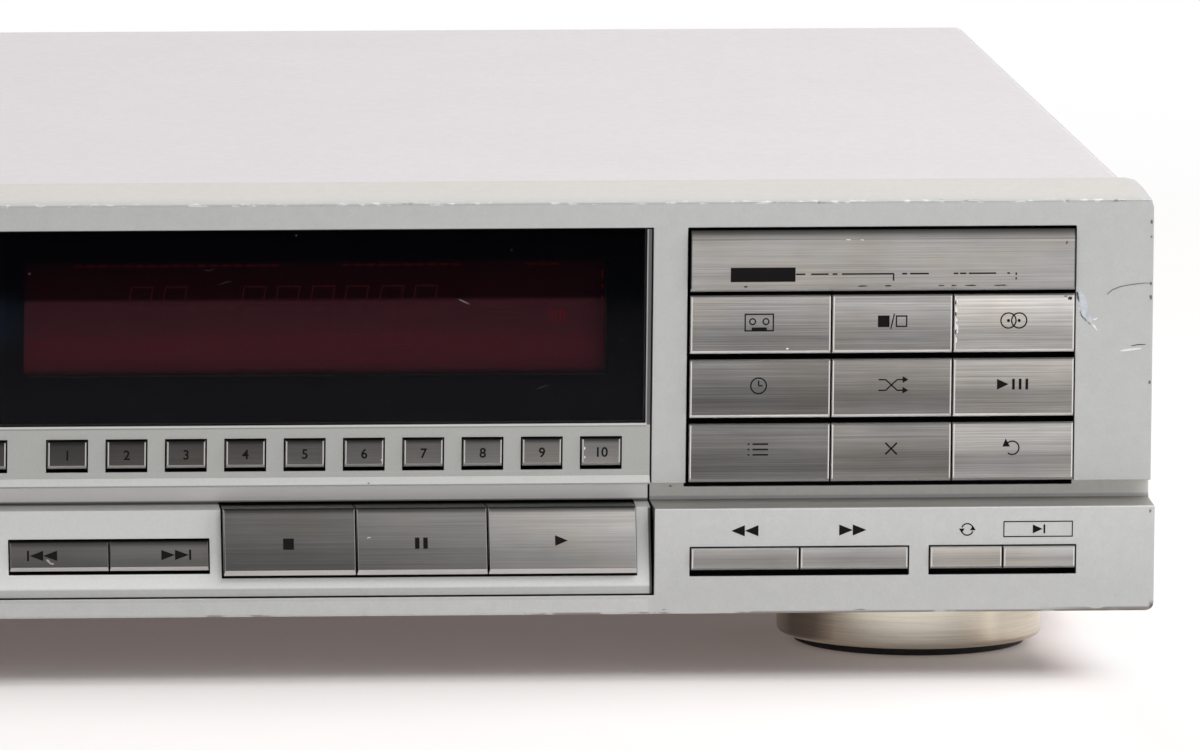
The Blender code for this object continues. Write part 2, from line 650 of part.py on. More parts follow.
def bed_reach(height):
    """How far the sloping key bed stands out of the upper front plane at a height."""
    slope = (BED_BOTTOM_REACH - BED_TOP_REACH) / (BED_TOP - BED_BOTTOM)
    return BED_TOP_REACH + slope * (BED_TOP - height)


def keypad_rows():
    return [KEYPAD_FIRST_TOP - row * KEYPAD_PITCH for row in range(len(KEYPAD_NAMES))]


# Keys


def key(name, left, right, bottom, top, reach, lower_bevel, look, travel=KEY_TRAVEL):
    """A key cap with a wide lower bevel and a stem behind it; reach(height) is the face's stand-out."""

    def ring(inset_x, inset_low, inset_high, depth):
        corners = []
        for x, z in (
            (left + inset_x, bottom + inset_low),
            (right - inset_x, bottom + inset_low),
            (right - inset_x, top - inset_high),
            (left + inset_x, top - inset_high),
        ):
            corners.append((x, depth(z), z))
        return corners

    stem_x = (right - left - STEM_WIDTH) / 2
    stem_z = (top - bottom - STEM_HEIGHT) / 2
    rings = [
        ring(KEY_SIDE_BEVEL, lower_bevel, KEY_TOP_BEVEL, lambda z: -reach(z)),
        ring(0, 0, 0, lambda z: KEY_BEVEL_DEPTH - reach(z)),
        ring(0, 0, 0, lambda z: KEY_BACK),
        ring(stem_x, stem_z, stem_z, lambda z: KEY_BACK),
        ring(stem_x, stem_z, stem_z, lambda z: STEM_END - (travel - KEY_TRAVEL)),
    ]
    bm = bmesh.new()
    loops = [[bm.verts.new(corner) for corner in corners] for corners in rings]
    bm.faces.new(loops[0])
    bm.faces.new(loops[-1])
    for near, far in zip(loops, loops[1:]):
        for i in range(len(near)):
            j = (i + 1) % len(near)
            bm.faces.new((near[i], near[j], far[j], far[i]))
    middle = ((left + right) / 2, 0, (bottom + top) / 2)
    return make(name, bm, look, middle)


def key_row(names, left, widths, bottom, top, reach, lower_bevel, look):
    """Keys side by side from the left edge of the first one."""
    for name, width in zip(names, widths):
        key(name, left, left + width, bottom, top, reach, lower_bevel, look)
        left += width + KEY_NEIGHBOUR_GAP


def even_widths(left, right, count):
    """Widths of keys that share an opening evenly."""
    room = right - left - 2 * KEY_SIDE_GAP - (count - 1) * KEY_NEIGHBOUR_GAP
    return [room / count] * count


def number_openings():
    """Middle and width of each opening in the key strip."""
    places = [(f"number_key_{i + 1}", NUMBER_FIRST_X + i * NUMBER_PITCH) for i in range(NUMBER_KEYS)]
    places.append(("number_key_over_10", EXTRA_KEY_X))
    rows = [(name, x, NUMBER_OPENING_WIDTH) for name, x in places]
    return rows + [("open_close_key", OPEN_KEY_X, OPEN_KEY_OPENING_WIDTH)]


def number_keys():
    for name, x, width in number_openings():
        half = width / 2 - KEY_SIDE_GAP
        key(
            name, x - half, x + half,
            NUMBER_OPENING_BOTTOM + NUMBER_LOWER_GAP, NUMBER_OPENING_TOP - KEY_SIDE_GAP,
            lambda z: NUMBER_PROUD, NUMBER_LOWER_BEVEL, DARK_BRUSHED,
        )


def keypad_keys():
    for names, top in zip(KEYPAD_NAMES, keypad_rows()):
        key_row(
            names, KEYPAD_LEFT + KEYPAD_SIDE_GAP, KEYPAD_WIDTHS, top - KEYPAD_KEY_HEIGHT, top,
            lambda z: KEYPAD_PROUD, KEYPAD_LOWER_BEVEL, BRUSHED,
        )


def keypad_plate():
    """The fixed plate above the keypad, with a sloping top edge."""
    outline = (
        (PLATE_DEPTH, PLATE_BOTTOM),
        (-KEYPAD_PROUD + KEY_BEVEL_DEPTH, PLATE_BOTTOM),
        (-KEYPAD_PROUD, PLATE_BOTTOM + KEYPAD_LOWER_BEVEL),
        (-KEYPAD_PROUD, PLATE_TOP - PLATE_TOP_BEVEL),
        (-KEYPAD_PROUD + KEY_BEVEL_DEPTH, PLATE_TOP),
        (PLATE_DEPTH, PLATE_TOP),
    )
    left, right = KEYPAD_LEFT + KEYPAD_SIDE_GAP, KEYPAD_RIGHT - KEY_SIDE_GAP
    extruded("keypad_plate", outline, left, right, "X", BRUSHED)


def transport_reach(height):
    slope = (TRANSPORT_BOTTOM_REACH - TRANSPORT_TOP_REACH) / (TRANSPORT_TOP - TRANSPORT_BOTTOM)
    lowest_face = TRANSPORT_BOTTOM + TRANSPORT_LOWER_GAP + TRANSPORT_LOWER_BEVEL
    return TRANSPORT_BOTTOM_REACH - slope * max(height - lowest_face, 0)


def transport_keys():
    key_row(
        TRANSPORT_NAMES, TRANSPORT_LEFT + KEY_SIDE_GAP, TRANSPORT_WIDTHS,
        TRANSPORT_BOTTOM + TRANSPORT_LOWER_GAP, TRANSPORT_TOP - TRANSPORT_TOP_GAP,
        transport_reach, TRANSPORT_LOWER_BEVEL, BRUSHED,
    )


def skip_reach(height):
    return bed_reach(height) + SKIP_PROUD


def skip_keys():
    key_row(
        ("skip_back_key", "skip_forward_key"), SKIP_LEFT + KEY_SIDE_GAP,
        even_widths(SKIP_LEFT, SKIP_RIGHT, 2),
        SKIP_BOTTOM + SKIP_LOWER_GAP, SKIP_TOP - SKIP_TOP_GAP,
        skip_reach, SKIP_LOWER_BEVEL, DARK_BRUSHED,
    )


def power_button():
    key(
        "power_button", POWER_LEFT + KEY_SIDE_GAP, POWER_LEFT + POWER_WIDTH - KEY_SIDE_GAP,
        SKIP_BOTTOM + SKIP_LOWER_GAP, SKIP_TOP - SKIP_TOP_GAP,
        skip_reach, SKIP_LOWER_BEVEL, DARK_BRUSHED, POWER_TRAVEL,
    )


def lower_keys():
    pairs = (
        (("search_back_key", "search_forward_key"), SEARCH_LEFT, SEARCH_RIGHT),
        (("repeat_key", "auto_cue_key"), REPEAT_LEFT, REPEAT_RIGHT),
    )
    for names, left, right in pairs:
        key_row(
            names, left + KEY_SIDE_GAP, even_widths(left, right, 2),
            LOWER_KEYS_BOTTOM + LOWER_KEYS_GAP, LOWER_KEYS_TOP - KEY_SIDE_GAP,
            lambda z: LOWER_PROUD + LOWER_KEYS_PROUD, LOWER_KEYS_BEVEL, BRUSHED,
        )


# Front mouldings


def fascia():
    """The front moulding: a thin-walled profile with openings for the centre panel and keys."""
    outer = (
        (FASCIA_DEPTH, 0),
        (-LOWER_PROUD, 0),
        (-LOWER_PROUD, LOWER_TOP),
        (GROOVE_DEPTH, GROOVE_FLOOR),
        (GROOVE_DEPTH, GROOVE_TOP),
        (0, GROOVE_TOP),
        (0, FASCIA_TOP_FRONT),
        (FASCIA_DEPTH, FASCIA_TOP_BACK),
    )
    inner = (
        (FASCIA_DEPTH + OVERRUN, WALL),
        (WALL - LOWER_PROUD, WALL),
        (WALL - LOWER_PROUD, LOWER_TOP - WALL),
        (GROOVE_DEPTH + WALL, GROOVE_FLOOR - WALL),
        (GROOVE_DEPTH + WALL, GROOVE_TOP + WALL),
        (WALL, GROOVE_TOP + WALL),
        (WALL, FASCIA_TOP_FRONT - WALL),
        (FASCIA_DEPTH + OVERRUN, FASCIA_TOP_FRONT - WALL),
    )
    shell = extruded("fascia", outer, -FASCIA_HALF, FASCIA_HALF, "X", SILVER_PAINT)
    inside = FASCIA_HALF - WALL
    cut(shell, extruded("fascia_inside", inner, -inside, inside, "X"))
    cut(shell, top_corner_cutters(), bottom_corner_cutters())
    front, back = -LOWER_PROUD - OVERRUN, GROOVE_DEPTH + WALL + OVERRUN
    openings = (
        (PANEL_LEFT, PANEL_RIGHT, PANEL_BOTTOM, PANEL_TOP),
        (KEYPAD_LEFT, KEYPAD_RIGHT, KEYPAD_BOTTOM, KEYPAD_TOP),
        (SEARCH_LEFT, SEARCH_RIGHT, LOWER_KEYS_BOTTOM, LOWER_KEYS_TOP),
        (REPEAT_LEFT, REPEAT_RIGHT, LOWER_KEYS_BOTTOM, LOWER_KEYS_TOP),
    )
    pairs = [((x0, front, z0), (x1, back, z1)) for x0, x1, z0, z1 in openings]
    cut(shell, boxes("fascia_openings", pairs))
    break_edges(shell)


def top_corner_cutters():
    """What is left outside the worn round of the fascia's two upper corners."""
    top = FASCIA_TOP_BACK + OVERRUN
    bm = bmesh.new()
    for side in (-1, 1):
        outer = side * (FASCIA_HALF + OVERRUN)
        outline = []
        for inset, drop in CORNER_SHAPE:
            outline.append((side * (FASCIA_HALF - inset), FASCIA_TOP_FRONT - drop))
        low = outline[0][1]
        inner = outline[-1][0]
        outline += [(inner, top), (outer, top), (outer, low)]
        prism(bm, outline, -OVERRUN, FASCIA_DEPTH + OVERRUN, "Y")
    return make("fascia_corners", bm)


def bottom_corner_cutters():
    """What is left outside a small round at the two lower corners of the fascia's ends."""
    bm = bmesh.new()
    for side in (-1, 1):
        middle = side * (FASCIA_HALF - CORNER_ROUND)
        outer = side * (FASCIA_HALF + OVERRUN)
        outline = [(outer, CORNER_ROUND), (outer, -OVERRUN), (middle, -OVERRUN)]
        for step in range(CORNER_ROUND_STEPS + 1):
            angle = math.pi / 2 * step / CORNER_ROUND_STEPS
            reach = CORNER_ROUND * math.sin(angle)
            outline.append((middle + side * reach, CORNER_ROUND - CORNER_ROUND * math.cos(angle)))
        prism(bm, outline, -LOWER_PROUD - OVERRUN, FASCIA_DEPTH + OVERRUN, "Y")
    return make("fascia_lower_corners", bm)


def centre_panel():
    """The moulding that carries the window, the tray mouth, the key strip and the sloping key bed."""
    bottom = PANEL_BOTTOM + FIT
    top = PANEL_TOP - FIT
    outline = (
        (-BED_BOTTOM_REACH, bottom),
        (-BED_BOTTOM_REACH, BED_BOTTOM),
        (-BED_TOP_REACH, BED_TOP),
        (GROOVE_DEPTH, BED_LEDGE),
        (GROOVE_DEPTH, GROOVE_TOP),
        (-STRIP_LIP_PROUD, GROOVE_TOP),
        (0, STRIP_LIP_TOP),
        (0, top),
        (PANEL_BACK, top),
        (PANEL_BACK, BED_TOP - PANEL_WALL),
        (PANEL_WALL - BED_TOP_REACH, BED_TOP - PANEL_WALL),
        (PANEL_WALL - BED_BOTTOM_REACH, BED_BOTTOM),
        (PANEL_WALL - BED_BOTTOM_REACH, bottom),
    )
    left, right = PANEL_LEFT + PANEL_GAP, PANEL_RIGHT - PANEL_GAP
    panel = extruded("centre_panel", outline, left, right, "X", SILVER_PAINT)
    rebate = (
        (WINDOW_LEFT, -OVERRUN, WINDOW_BOTTOM),
        (WINDOW_RIGHT, WINDOW_REBATE, PANEL_TOP + OVERRUN),
    )
    cut(panel, boxes("window_rebate", [rebate]))
    front, back = -TRANSPORT_BOTTOM_REACH - OVERRUN, PANEL_BACK + OVERRUN
    mouth = TRAY_FRONT_WIDTH / 2 + MOUTH_GAP
    openings = [
        (VIEW_LEFT, VIEW_RIGHT, VIEW_BOTTOM, VIEW_TOP),
        (
            TRAY_MIDDLE - mouth, TRAY_MIDDLE + mouth,
            TRAY_FRONT_BOTTOM - MOUTH_GAP, TRAY_FRONT_TOP + MOUTH_GAP,
        ),
        (TRANSPORT_LEFT, TRANSPORT_RIGHT, TRANSPORT_BOTTOM, TRANSPORT_TOP),
        (SKIP_LEFT, SKIP_RIGHT, SKIP_BOTTOM, SKIP_TOP),
        (POWER_LEFT, POWER_LEFT + POWER_WIDTH, SKIP_BOTTOM, SKIP_TOP),
    ]
    for _, x, width in number_openings():
        openings.append((x - width / 2, x + width / 2, NUMBER_OPENING_BOTTOM, NUMBER_OPENING_TOP))
    pairs = [((x0, front, z0), (x1, back, z1)) for x0, x1, z0, z1 in openings]
    cut(panel, boxes("panel_openings", pairs))
    cut(panel, rod("jack_hole", JACK_RADIUS + FIT, front, back, (JACK_X, JACK_Z), "Y"))
    break_edges(panel)


def display_window():
    low = (WINDOW_LEFT + FIT, WINDOW_FRONT, WINDOW_BOTTOM + FIT)
    high = (WINDOW_RIGHT - FIT, WINDOW_REBATE - FIT, PANEL_TOP - FIT)
    boxes("display_window", [(low, high)], WINDOW)


def display_tube():
    """The display's flat glass tube behind the panel's view, thinner at its sealed edge."""
    front = PANEL_BACK + FIT
    back = BOARD_FRONT - TUBE_BOARD_GAP
    edge = TUBE_MARGIN + TUBE_PIN_MARGIN
    plate = (
        (VIEW_LEFT - edge, (front + back) / 2, VIEW_BOTTOM - edge),
        (VIEW_RIGHT + edge, back, VIEW_TOP + edge),
    )
    glass = (
        (VIEW_LEFT - TUBE_MARGIN, front, VIEW_BOTTOM - TUBE_MARGIN),
        (VIEW_RIGHT + TUBE_MARGIN, back - TUBE_PIN_MARGIN, VIEW_TOP + TUBE_MARGIN),
    )
    tube = boxes("display_tube", [plate], TUBE)
    join(tube, boxes("display_glass", [glass]))


def headphone_jack():
    """A round socket whose flange stands on the sloping bed."""
    front = -bed_reach(JACK_Z - JACK_FLANGE) - FIT - JACK_FLANGE_THICK
    end = front + JACK_BORE_LENGTH
    sunk = end + JACK_CONTACTS / 2
    profile = (
        (JACK_BORE, front),
        (JACK_FLANGE, front),
        (JACK_FLANGE, front + JACK_FLANGE_THICK),
        (JACK_RADIUS, front + JACK_FLANGE_THICK),
        (JACK_RADIUS, sunk),
        (JACK_BORE, sunk),
    )
    jack = turned("headphone_jack", profile, (JACK_X, JACK_Z), "Y", BLACK)
    plug = (
        (JACK_X - JACK_RADIUS, end, JACK_Z - JACK_RADIUS),
        (JACK_X + JACK_RADIUS, front + JACK_LENGTH, JACK_Z + JACK_RADIUS),
    )
    join(jack, boxes("jack_contacts", [plug]))


# Case


def cover_outline(inset):
    """The cover's outside, or its inside when inset by the sheet; open side down."""
    half = COVER_HALF_WIDTH - inset
    top = COVER_TOP - inset
    radius = COVER_CORNER - inset
    points = []
    for side, start in ((1, 0), (-1, math.pi / 2)):
        for step in range(CORNER_STEPS + 1):
            angle = start + math.pi / 2 * step / CORNER_STEPS
            x = side * (half - radius) + radius * math.cos(angle)
            points.append((x, top - radius + radius * math.sin(angle)))
    return points


def top_cover():
    outside = cover_outline(0)
    inside = cover_outline(SHEET)
    legs = ((COVER_HALF_WIDTH, COVER_BOTTOM), (-COVER_HALF_WIDTH, COVER_BOTTOM))
    feet = (
        (-COVER_HALF_WIDTH + SHEET, COVER_BOTTOM),
        (COVER_HALF_WIDTH - SHEET, COVER_BOTTOM),
    )
    outline = [legs[0], *outside, legs[1], feet[0], *reversed(inside), feet[1]]
    extruded("top_cover", outline, CASE_FRONT, CASE_BACK, "Y", COVER_PAINT)


def standoff_places():
    """The main board's corners, as the standoffs' middles."""
    for x in (MAIN_BOARD_LEFT + STANDOFF_INSET, MAIN_BOARD_RIGHT - STANDOFF_INSET):
        for y in (MAIN_BOARD_FRONT + STANDOFF_INSET, MAIN_BOARD_BACK - STANDOFF_INSET):
            yield x, y


def chassis_base():
    """Folded steel base: bottom, two side flanges and a front wall, with pads for the main board."""
    back = REAR_PANEL_FRONT - FIT
    outer = ((-BASE_HALF, CASE_FRONT, BASE_BOTTOM), (BASE_HALF, back, FRONT_WALL_TOP))
    inner = (
        (-BASE_HALF + BASE_SHEET, CASE_FRONT + BASE_SHEET, BASE_TOP),
        (BASE_HALF - BASE_SHEET, back + OVERRUN, FRONT_WALL_TOP + OVERRUN),
    )
    sides = (
        (-BASE_HALF - OVERRUN, CASE_FRONT + BASE_SHEET + FRONT_WALL_RETURN, BASE_FLANGE),
        (BASE_HALF + OVERRUN, back + OVERRUN, FRONT_WALL_TOP + OVERRUN),
    )
    port = TRAY_HALF_WIDTH + TRAY_PORT_MARGIN
    tray_port = (
        (TRAY_MIDDLE - port, CASE_FRONT - OVERRUN, TRAY_PORT_BOTTOM),
        (TRAY_MIDDLE + port, CASE_FRONT + BASE_SHEET + OVERRUN, TRAY_PORT_TOP),
    )
    jack_port = JACK_RADIUS + JACK_FLANGE_THICK
    jack_hole = (
        (JACK_X - jack_port, CASE_FRONT - OVERRUN, JACK_Z - jack_port),
        (JACK_X + jack_port, CASE_FRONT + BASE_SHEET + OVERRUN, JACK_Z + jack_port),
    )
    base = boxes("chassis_base", [outer], STEEL)
    cut(base, boxes("base_inside", [inner]), boxes("base_sides", [sides]))
    cut(base, boxes("base_ports", [tray_port, jack_hole]))
    half = STANDOFF_SIZE / 2
    pads = []
    for x, y in standoff_places():
        low = (x - half, y - half, BASE_BOTTOM + BASE_SHEET / 2)
        pads.append((low, (x + half, y + half, BASE_TOP + STANDOFF_HEIGHT)))
    join(base, boxes("base_pads", pads))


def inlet_outline(inset):
    """The mains inlet's rounded section, as points around it."""
    half_height = INLET_HEIGHT / 2 - inset
    flat = (INLET_WIDTH - INLET_HEIGHT) / 2
    points = []
    steps = CORNER_STEPS * 2
    for side, start in ((1, -math.pi / 2), (-1, math.pi / 2)):
        for step in range(steps + 1):
            angle = start + math.pi * step / steps
            x = INLET_X + side * flat + half_height * math.cos(angle)
            points.append((x, INLET_Z + half_height * math.sin(angle)))
    return points


def socket_centres():
    return [(SOCKETS_X + side * SOCKET_PITCH / 2, SOCKETS_Z) for side in (-1, 1)]


def rear_panel():
    outline = [(BASE_HALF, BASE_BOTTOM), *cover_outline(SHEET + FIT), (-BASE_HALF, BASE_BOTTOM)]
    panel = extruded("rear_panel", outline, REAR_PANEL_FRONT, CASE_BACK, "Y", STEEL)
    near, far = REAR_PANEL_FRONT - OVERRUN, CASE_BACK + OVERRUN
    cut(panel, extruded("inlet_hole", inlet_outline(-FIT), near, far, "Y"))
    for number, centre in enumerate(socket_centres(), 1):
        cut(panel, rod(f"socket_hole_{number}", SOCKET_RADIUS + FIT, near, far, centre, "Y"))


def feet():
    """Four turned feet: a bright ring with a chamfer over a narrower pad."""
    top = BASE_BOTTOM - FIT
    profile = (
        (0, -FOOT_DROP),
        (FOOT_PAD_RADIUS, -FOOT_DROP),
        (FOOT_PAD_RADIUS, -FOOT_RING_BOTTOM),
        (FOOT_RADIUS - FOOT_CHAMFER, -FOOT_RING_BOTTOM),
        (FOOT_RADIUS, -FOOT_WALL_BOTTOM),
        (FOOT_RADIUS, top),
        (0, top),
    )
    rear_y = CASE_BACK - FOOT_REAR_INSET
    for row, y in (("front", FOOT_FRONT_Y), ("rear", rear_y)):
        for side, x in (("left", -FOOT_X), ("right", FOOT_X)):
            turned(f"foot_{row}_{side}", profile, (x, y), "Z", CHAMPAGNE)


# Tray and loader


def tooth_outline(teeth, phase):
    """Points round a spur gear: each tooth is a trapezoid from the root circle to the tip circle."""
    radius = GEAR_MODULE * teeth / 2
    root, tip = radius - DEDENDUM, radius + ADDENDUM
    points = []
    for tooth in range(teeth):
        middle = phase + 2 * math.pi * tooth / teeth
        for reach, half in ((root, -TOOTH_ROOT), (tip, -TOOTH_TIP), (tip, TOOTH_TIP), (root, TOOTH_ROOT)):
            angle = middle + half / 2 / reach
            points.append((reach * math.cos(angle), reach * math.sin(angle)))
    return points


def gear_blank(name, teeth, phase, centre, low, high, look=None, pivot=(0, 0, 0)):
    outline = [(centre[0] + x, centre[1] + y) for x, y in tooth_outline(teeth, phase)]
    return extruded(name, outline, low, high, "Z", look, pivot)


def rack():
    """The rack under the tray: teeth face the gear, with a gap opposite its axis."""
    pitch = math.pi * GEAR_MODULE
    line = GEAR_AXIS[0] - RACK_RADIUS
    root, tip = line - DEDENDUM, line + ADDENDUM
    count = int((TRAY_BACK - RACK_FRONT) / pitch)
    first = GEAR_Y - pitch / 2 - pitch * int((GEAR_Y - RACK_FRONT) / pitch)
    points = [(root - RACK_BACKING, first - pitch / 2)]
    for tooth in range(count):
        middle = first + pitch * tooth
        points.append((root, middle - TOOTH_ROOT / 2))
        points.append((tip, middle - TOOTH_TIP / 2))
        points.append((tip, middle + TOOTH_TIP / 2))
        points.append((root, middle + TOOTH_ROOT / 2))
    points.append((root - RACK_BACKING, first + pitch * (count - 1 / 2)))
    low = TRAY_BOTTOM - RACK_HEIGHT
    return extruded("tray_rack", points, low, TRAY_BOTTOM + RACK_HEIGHT / 4, "Z")


def disc_tray():
    """The sliding drawer with two disc recesses, a slot for the pickup and a rack underneath."""
    low = (TRAY_MIDDLE - TRAY_HALF_WIDTH, TRAY_FRONT_BACK + FIT, TRAY_BOTTOM)
    high = (TRAY_MIDDLE + TRAY_HALF_WIDTH, TRAY_BACK, TRAY_TOP)
    tray = boxes("disc_tray", [(low, high)], BLACK)
    for name, radius, floor in (
        ("disc_recess", DISC_RECESS_RADIUS, DISC_RECESS_FLOOR),
        ("small_disc_recess", SMALL_DISC_RADIUS, SMALL_DISC_FLOOR),
    ):
        cut(tray, rod(name, radius, floor, TRAY_TOP + OVERRUN, SPINDLE, sides=ROUND_SIDES))
    slot = (
        (TRAY_MIDDLE - SLOT_HALF_WIDTH, SLOT_FRONT, TRAY_BOTTOM - OVERRUN),
        (TRAY_MIDDLE + SLOT_HALF_WIDTH, TRAY_BACK + OVERRUN, TRAY_TOP + OVERRUN),
    )
    cut(tray, boxes("tray_slot", [slot]))
    join(tray, rack())


def tray_front():
    half = TRAY_FRONT_WIDTH / 2
    low = (TRAY_MIDDLE - half, -TRAY_FRONT_PROUD, TRAY_FRONT_BOTTOM)
    high = (TRAY_MIDDLE + half, TRAY_FRONT_BACK, TRAY_FRONT_TOP)
    door = boxes("tray_front", [(low, high)], SILVER_PAINT)
    break_edges(door, KEY_TOP_BEVEL)


def loader_frame():
    """The moulded frame: side walls with tray ledges, a floor with a port, bearings and a gear pin."""

    def slab(half, front, back, low, high):
        return ((TRAY_MIDDLE - half, front, low), (TRAY_MIDDLE + half, back, high))

    inner = LOADER_HALF_WIDTH - LOADER_WALL
    ledge = inner - LEDGE_WIDTH
    front, back = LOADER_FRONT - OVERRUN, LOADER_BACK + OVERRUN
    frame = boxes(
        "loader_frame",
        [slab(LOADER_HALF_WIDTH, LOADER_FRONT, LOADER_BACK, BASE_TOP + FIT, LOADER_TOP)],
        BLACK,
    )
    cut(frame, boxes("loader_upper", [slab(inner, front, back, LEDGE_TOP, LOADER_TOP + OVERRUN)]))
    below_ledge = LEDGE_TOP - LEDGE_THICK
    between = slab(ledge, front, back, below_ledge - LEDGE_THICK, LEDGE_TOP + OVERRUN)
    cut(frame, boxes("loader_ledge", [between]))
    cut(frame, boxes("loader_middle", [slab(inner, front, back, FLOOR_TOP, below_ledge)]))
    under = slab(inner, front, back, BASE_BOTTOM, FLOOR_TOP - FLOOR_THICK)
    cut(frame, boxes("loader_under", [under]))
    port = slab(
        FLOOR_PORT_HALF_WIDTH, FLOOR_PORT_FRONT, FLOOR_PORT_BACK,
        FLOOR_TOP - FLOOR_THICK - OVERRUN, FLOOR_TOP + OVERRUN,
    )
    cut(frame, boxes("loader_port", [port]))
    sunk = FLOOR_TOP - FLOOR_THICK / 2
    bearings = []
    for side in (-1, 1):
        inside = TRAY_MIDDLE + side * BEARING_INNER
        outside = inside + side * BEARING_WIDTH
        low = (min(inside, outside), HINGE_Y - BEARING_LENGTH / 2, sunk)
        top = HINGE_Z + HINGE_PIN_RADIUS + BEARING_TOP_WALL
        bearings.append((low, (max(inside, outside), HINGE_Y + BEARING_LENGTH / 2, top)))
    join(frame, boxes("deck_bearings", bearings))
    outer = BEARING_INNER + BEARING_WIDTH + FIT
    radius = HINGE_PIN_RADIUS + HINGE_CLEARANCE
    cut(
        frame,
        rod("bearing_bores", radius, TRAY_MIDDLE - outer, TRAY_MIDDLE + outer, (HINGE_Y, HINGE_Z), "X"),
    )
    join(frame, rod("gear_pin", AXLE_RADIUS, sunk, PINION_TOP - FIT, GEAR_AXIS))


def loading_gear():
    """A wheel turned by the motor's pinion, with a smaller pinion on top that drives the rack."""
    pivot = (*GEAR_AXIS, WHEEL_BOTTOM)
    gear = gear_blank("loading_gear", WHEEL_TEETH, 0, GEAR_AXIS, WHEEL_BOTTOM, WHEEL_TOP, GEAR_WHITE, pivot)
    sunk = (WHEEL_BOTTOM + WHEEL_TOP) / 2
    join(gear, gear_blank("rack_pinion", RACK_PINION_TEETH, 0, GEAR_AXIS, sunk, PINION_TOP))
    join(gear, rod("gear_hub", HUB_RADIUS, FLOOR_TOP + FIT, sunk, GEAR_AXIS))
    bore = AXLE_RADIUS + GEAR_BORE_CLEARANCE
    cut(gear, rod("gear_bore", bore, FLOOR_TOP - OVERRUN, PINION_TOP + OVERRUN, GEAR_AXIS))


def motor_pinion():
    pivot = (*MOTOR_AXIS, WHEEL_BOTTOM)
    phase = math.pi / MOTOR_PINION_TEETH
    pinion = gear_blank(
        "motor_pinion", MOTOR_PINION_TEETH, phase, MOTOR_AXIS, WHEEL_BOTTOM, WHEEL_TOP, GEAR_WHITE, pivot
    )
    bore = MOTOR_SHAFT_RADIUS + GEAR_BORE_CLEARANCE
    cut(pinion, rod("pinion_bore", bore, WHEEL_BOTTOM - OVERRUN, WHEEL_TOP + OVERRUN, MOTOR_AXIS))


def loading_motor():
    floor = FLOOR_TOP + FIT
    profile = (
        (0, floor),
        (MOTOR_RADIUS, floor),
        (MOTOR_RADIUS, MOTOR_TOP),
        (HUB_RADIUS, MOTOR_TOP),
        (HUB_RADIUS, WHEEL_BOTTOM - FIT),
        (MOTOR_SHAFT_RADIUS, WHEEL_BOTTOM - FIT),
        (MOTOR_SHAFT_RADIUS, MOTOR_SHAFT_TOP),
        (0, MOTOR_SHAFT_TOP),
    )
    turned("loading_motor", profile, MOTOR_AXIS, "Z", STEEL, sides=SMALL_SIDES)


# Optical deck


def optical_deck():
    """The tilting deck: plate, hinge pins, spindle motor and the pickup's rail between two posts."""
    pivot = (TRAY_MIDDLE, HINGE_Y, HINGE_Z)
    half = DECK_HALF_WIDTH
    low = (TRAY_MIDDLE - half, DECK_FRONT, DECK_BOTTOM)
    high = (TRAY_MIDDLE + half, DECK_BACK, DECK_TOP)
    deck = boxes("optical_deck", [(low, high)], STEEL, pivot)
    ears = []
    for side in (-1, 1):
        edge = TRAY_MIDDLE + side * (half - DECK_EAR_WIDTH / 2)
        reach = DECK_EAR_WIDTH / 2
        bottom, top = HINGE_Z - 2 * HINGE_PIN_RADIUS, HINGE_Z + 2 * HINGE_PIN_RADIUS
        back = HINGE_Y + 2 * HINGE_PIN_RADIUS
        ears.append(((edge - reach, DECK_BACK - OVERRUN, bottom), (edge + reach, back, top)))
    join(deck, boxes("deck_ears", ears))
    for side in (-1, 1):
        ends = sorted((TRAY_MIDDLE + side * (half - DECK_EAR_WIDTH / 2), TRAY_MIDDLE + side * DECK_PIN_REACH))
        name = f"deck_pin_{'left' if side < 0 else 'right'}"
        join(deck, rod(name, HINGE_PIN_RADIUS, *ends, (HINGE_Y, HINGE_Z), "X"))
    sunk = (DECK_BOTTOM + DECK_TOP) / 2
    join(deck, rod("spindle_motor", SPINDLE_MOTOR_RADIUS, SPINDLE_MOTOR_BOTTOM, sunk, SPINDLE))
    posts = []
    for y in (RAIL_FRONT, RAIL_BACK):
        x = TRAY_MIDDLE + RAIL_X
        post_low = (x - RAIL_POST_HALF_WIDTH, y - RAIL_POST_THICK, sunk)
        posts.append((post_low, (x + RAIL_POST_HALF_WIDTH, y, RAIL_Z + 2 * RAIL_RADIUS)))
    join(deck, boxes("rail_posts", posts))
    ends = (RAIL_FRONT - RAIL_POST_THICK / 2, RAIL_BACK - RAIL_POST_THICK / 2)
    join(deck, rod("pickup_rail", RAIL_RADIUS, *ends, (TRAY_MIDDLE + RAIL_X, RAIL_Z), "Y"))


def turntable():
    profile = (
        (0, DECK_TOP + FIT),
        (TURNTABLE_HUB, DECK_TOP + FIT),
        (TURNTABLE_HUB, TURNTABLE_BOTTOM),
        (TURNTABLE_RADIUS, TURNTABLE_BOTTOM),
        (TURNTABLE_RADIUS, TURNTABLE_TOP),
        (CONE_RADIUS, TURNTABLE_TOP),
        (CONE_TIP_RADIUS, CONE_TOP),
        (0, CONE_TOP),
    )
    turned("turntable", profile, SPINDLE, "Z", BLACK, (*SPINDLE, DECK_TOP))


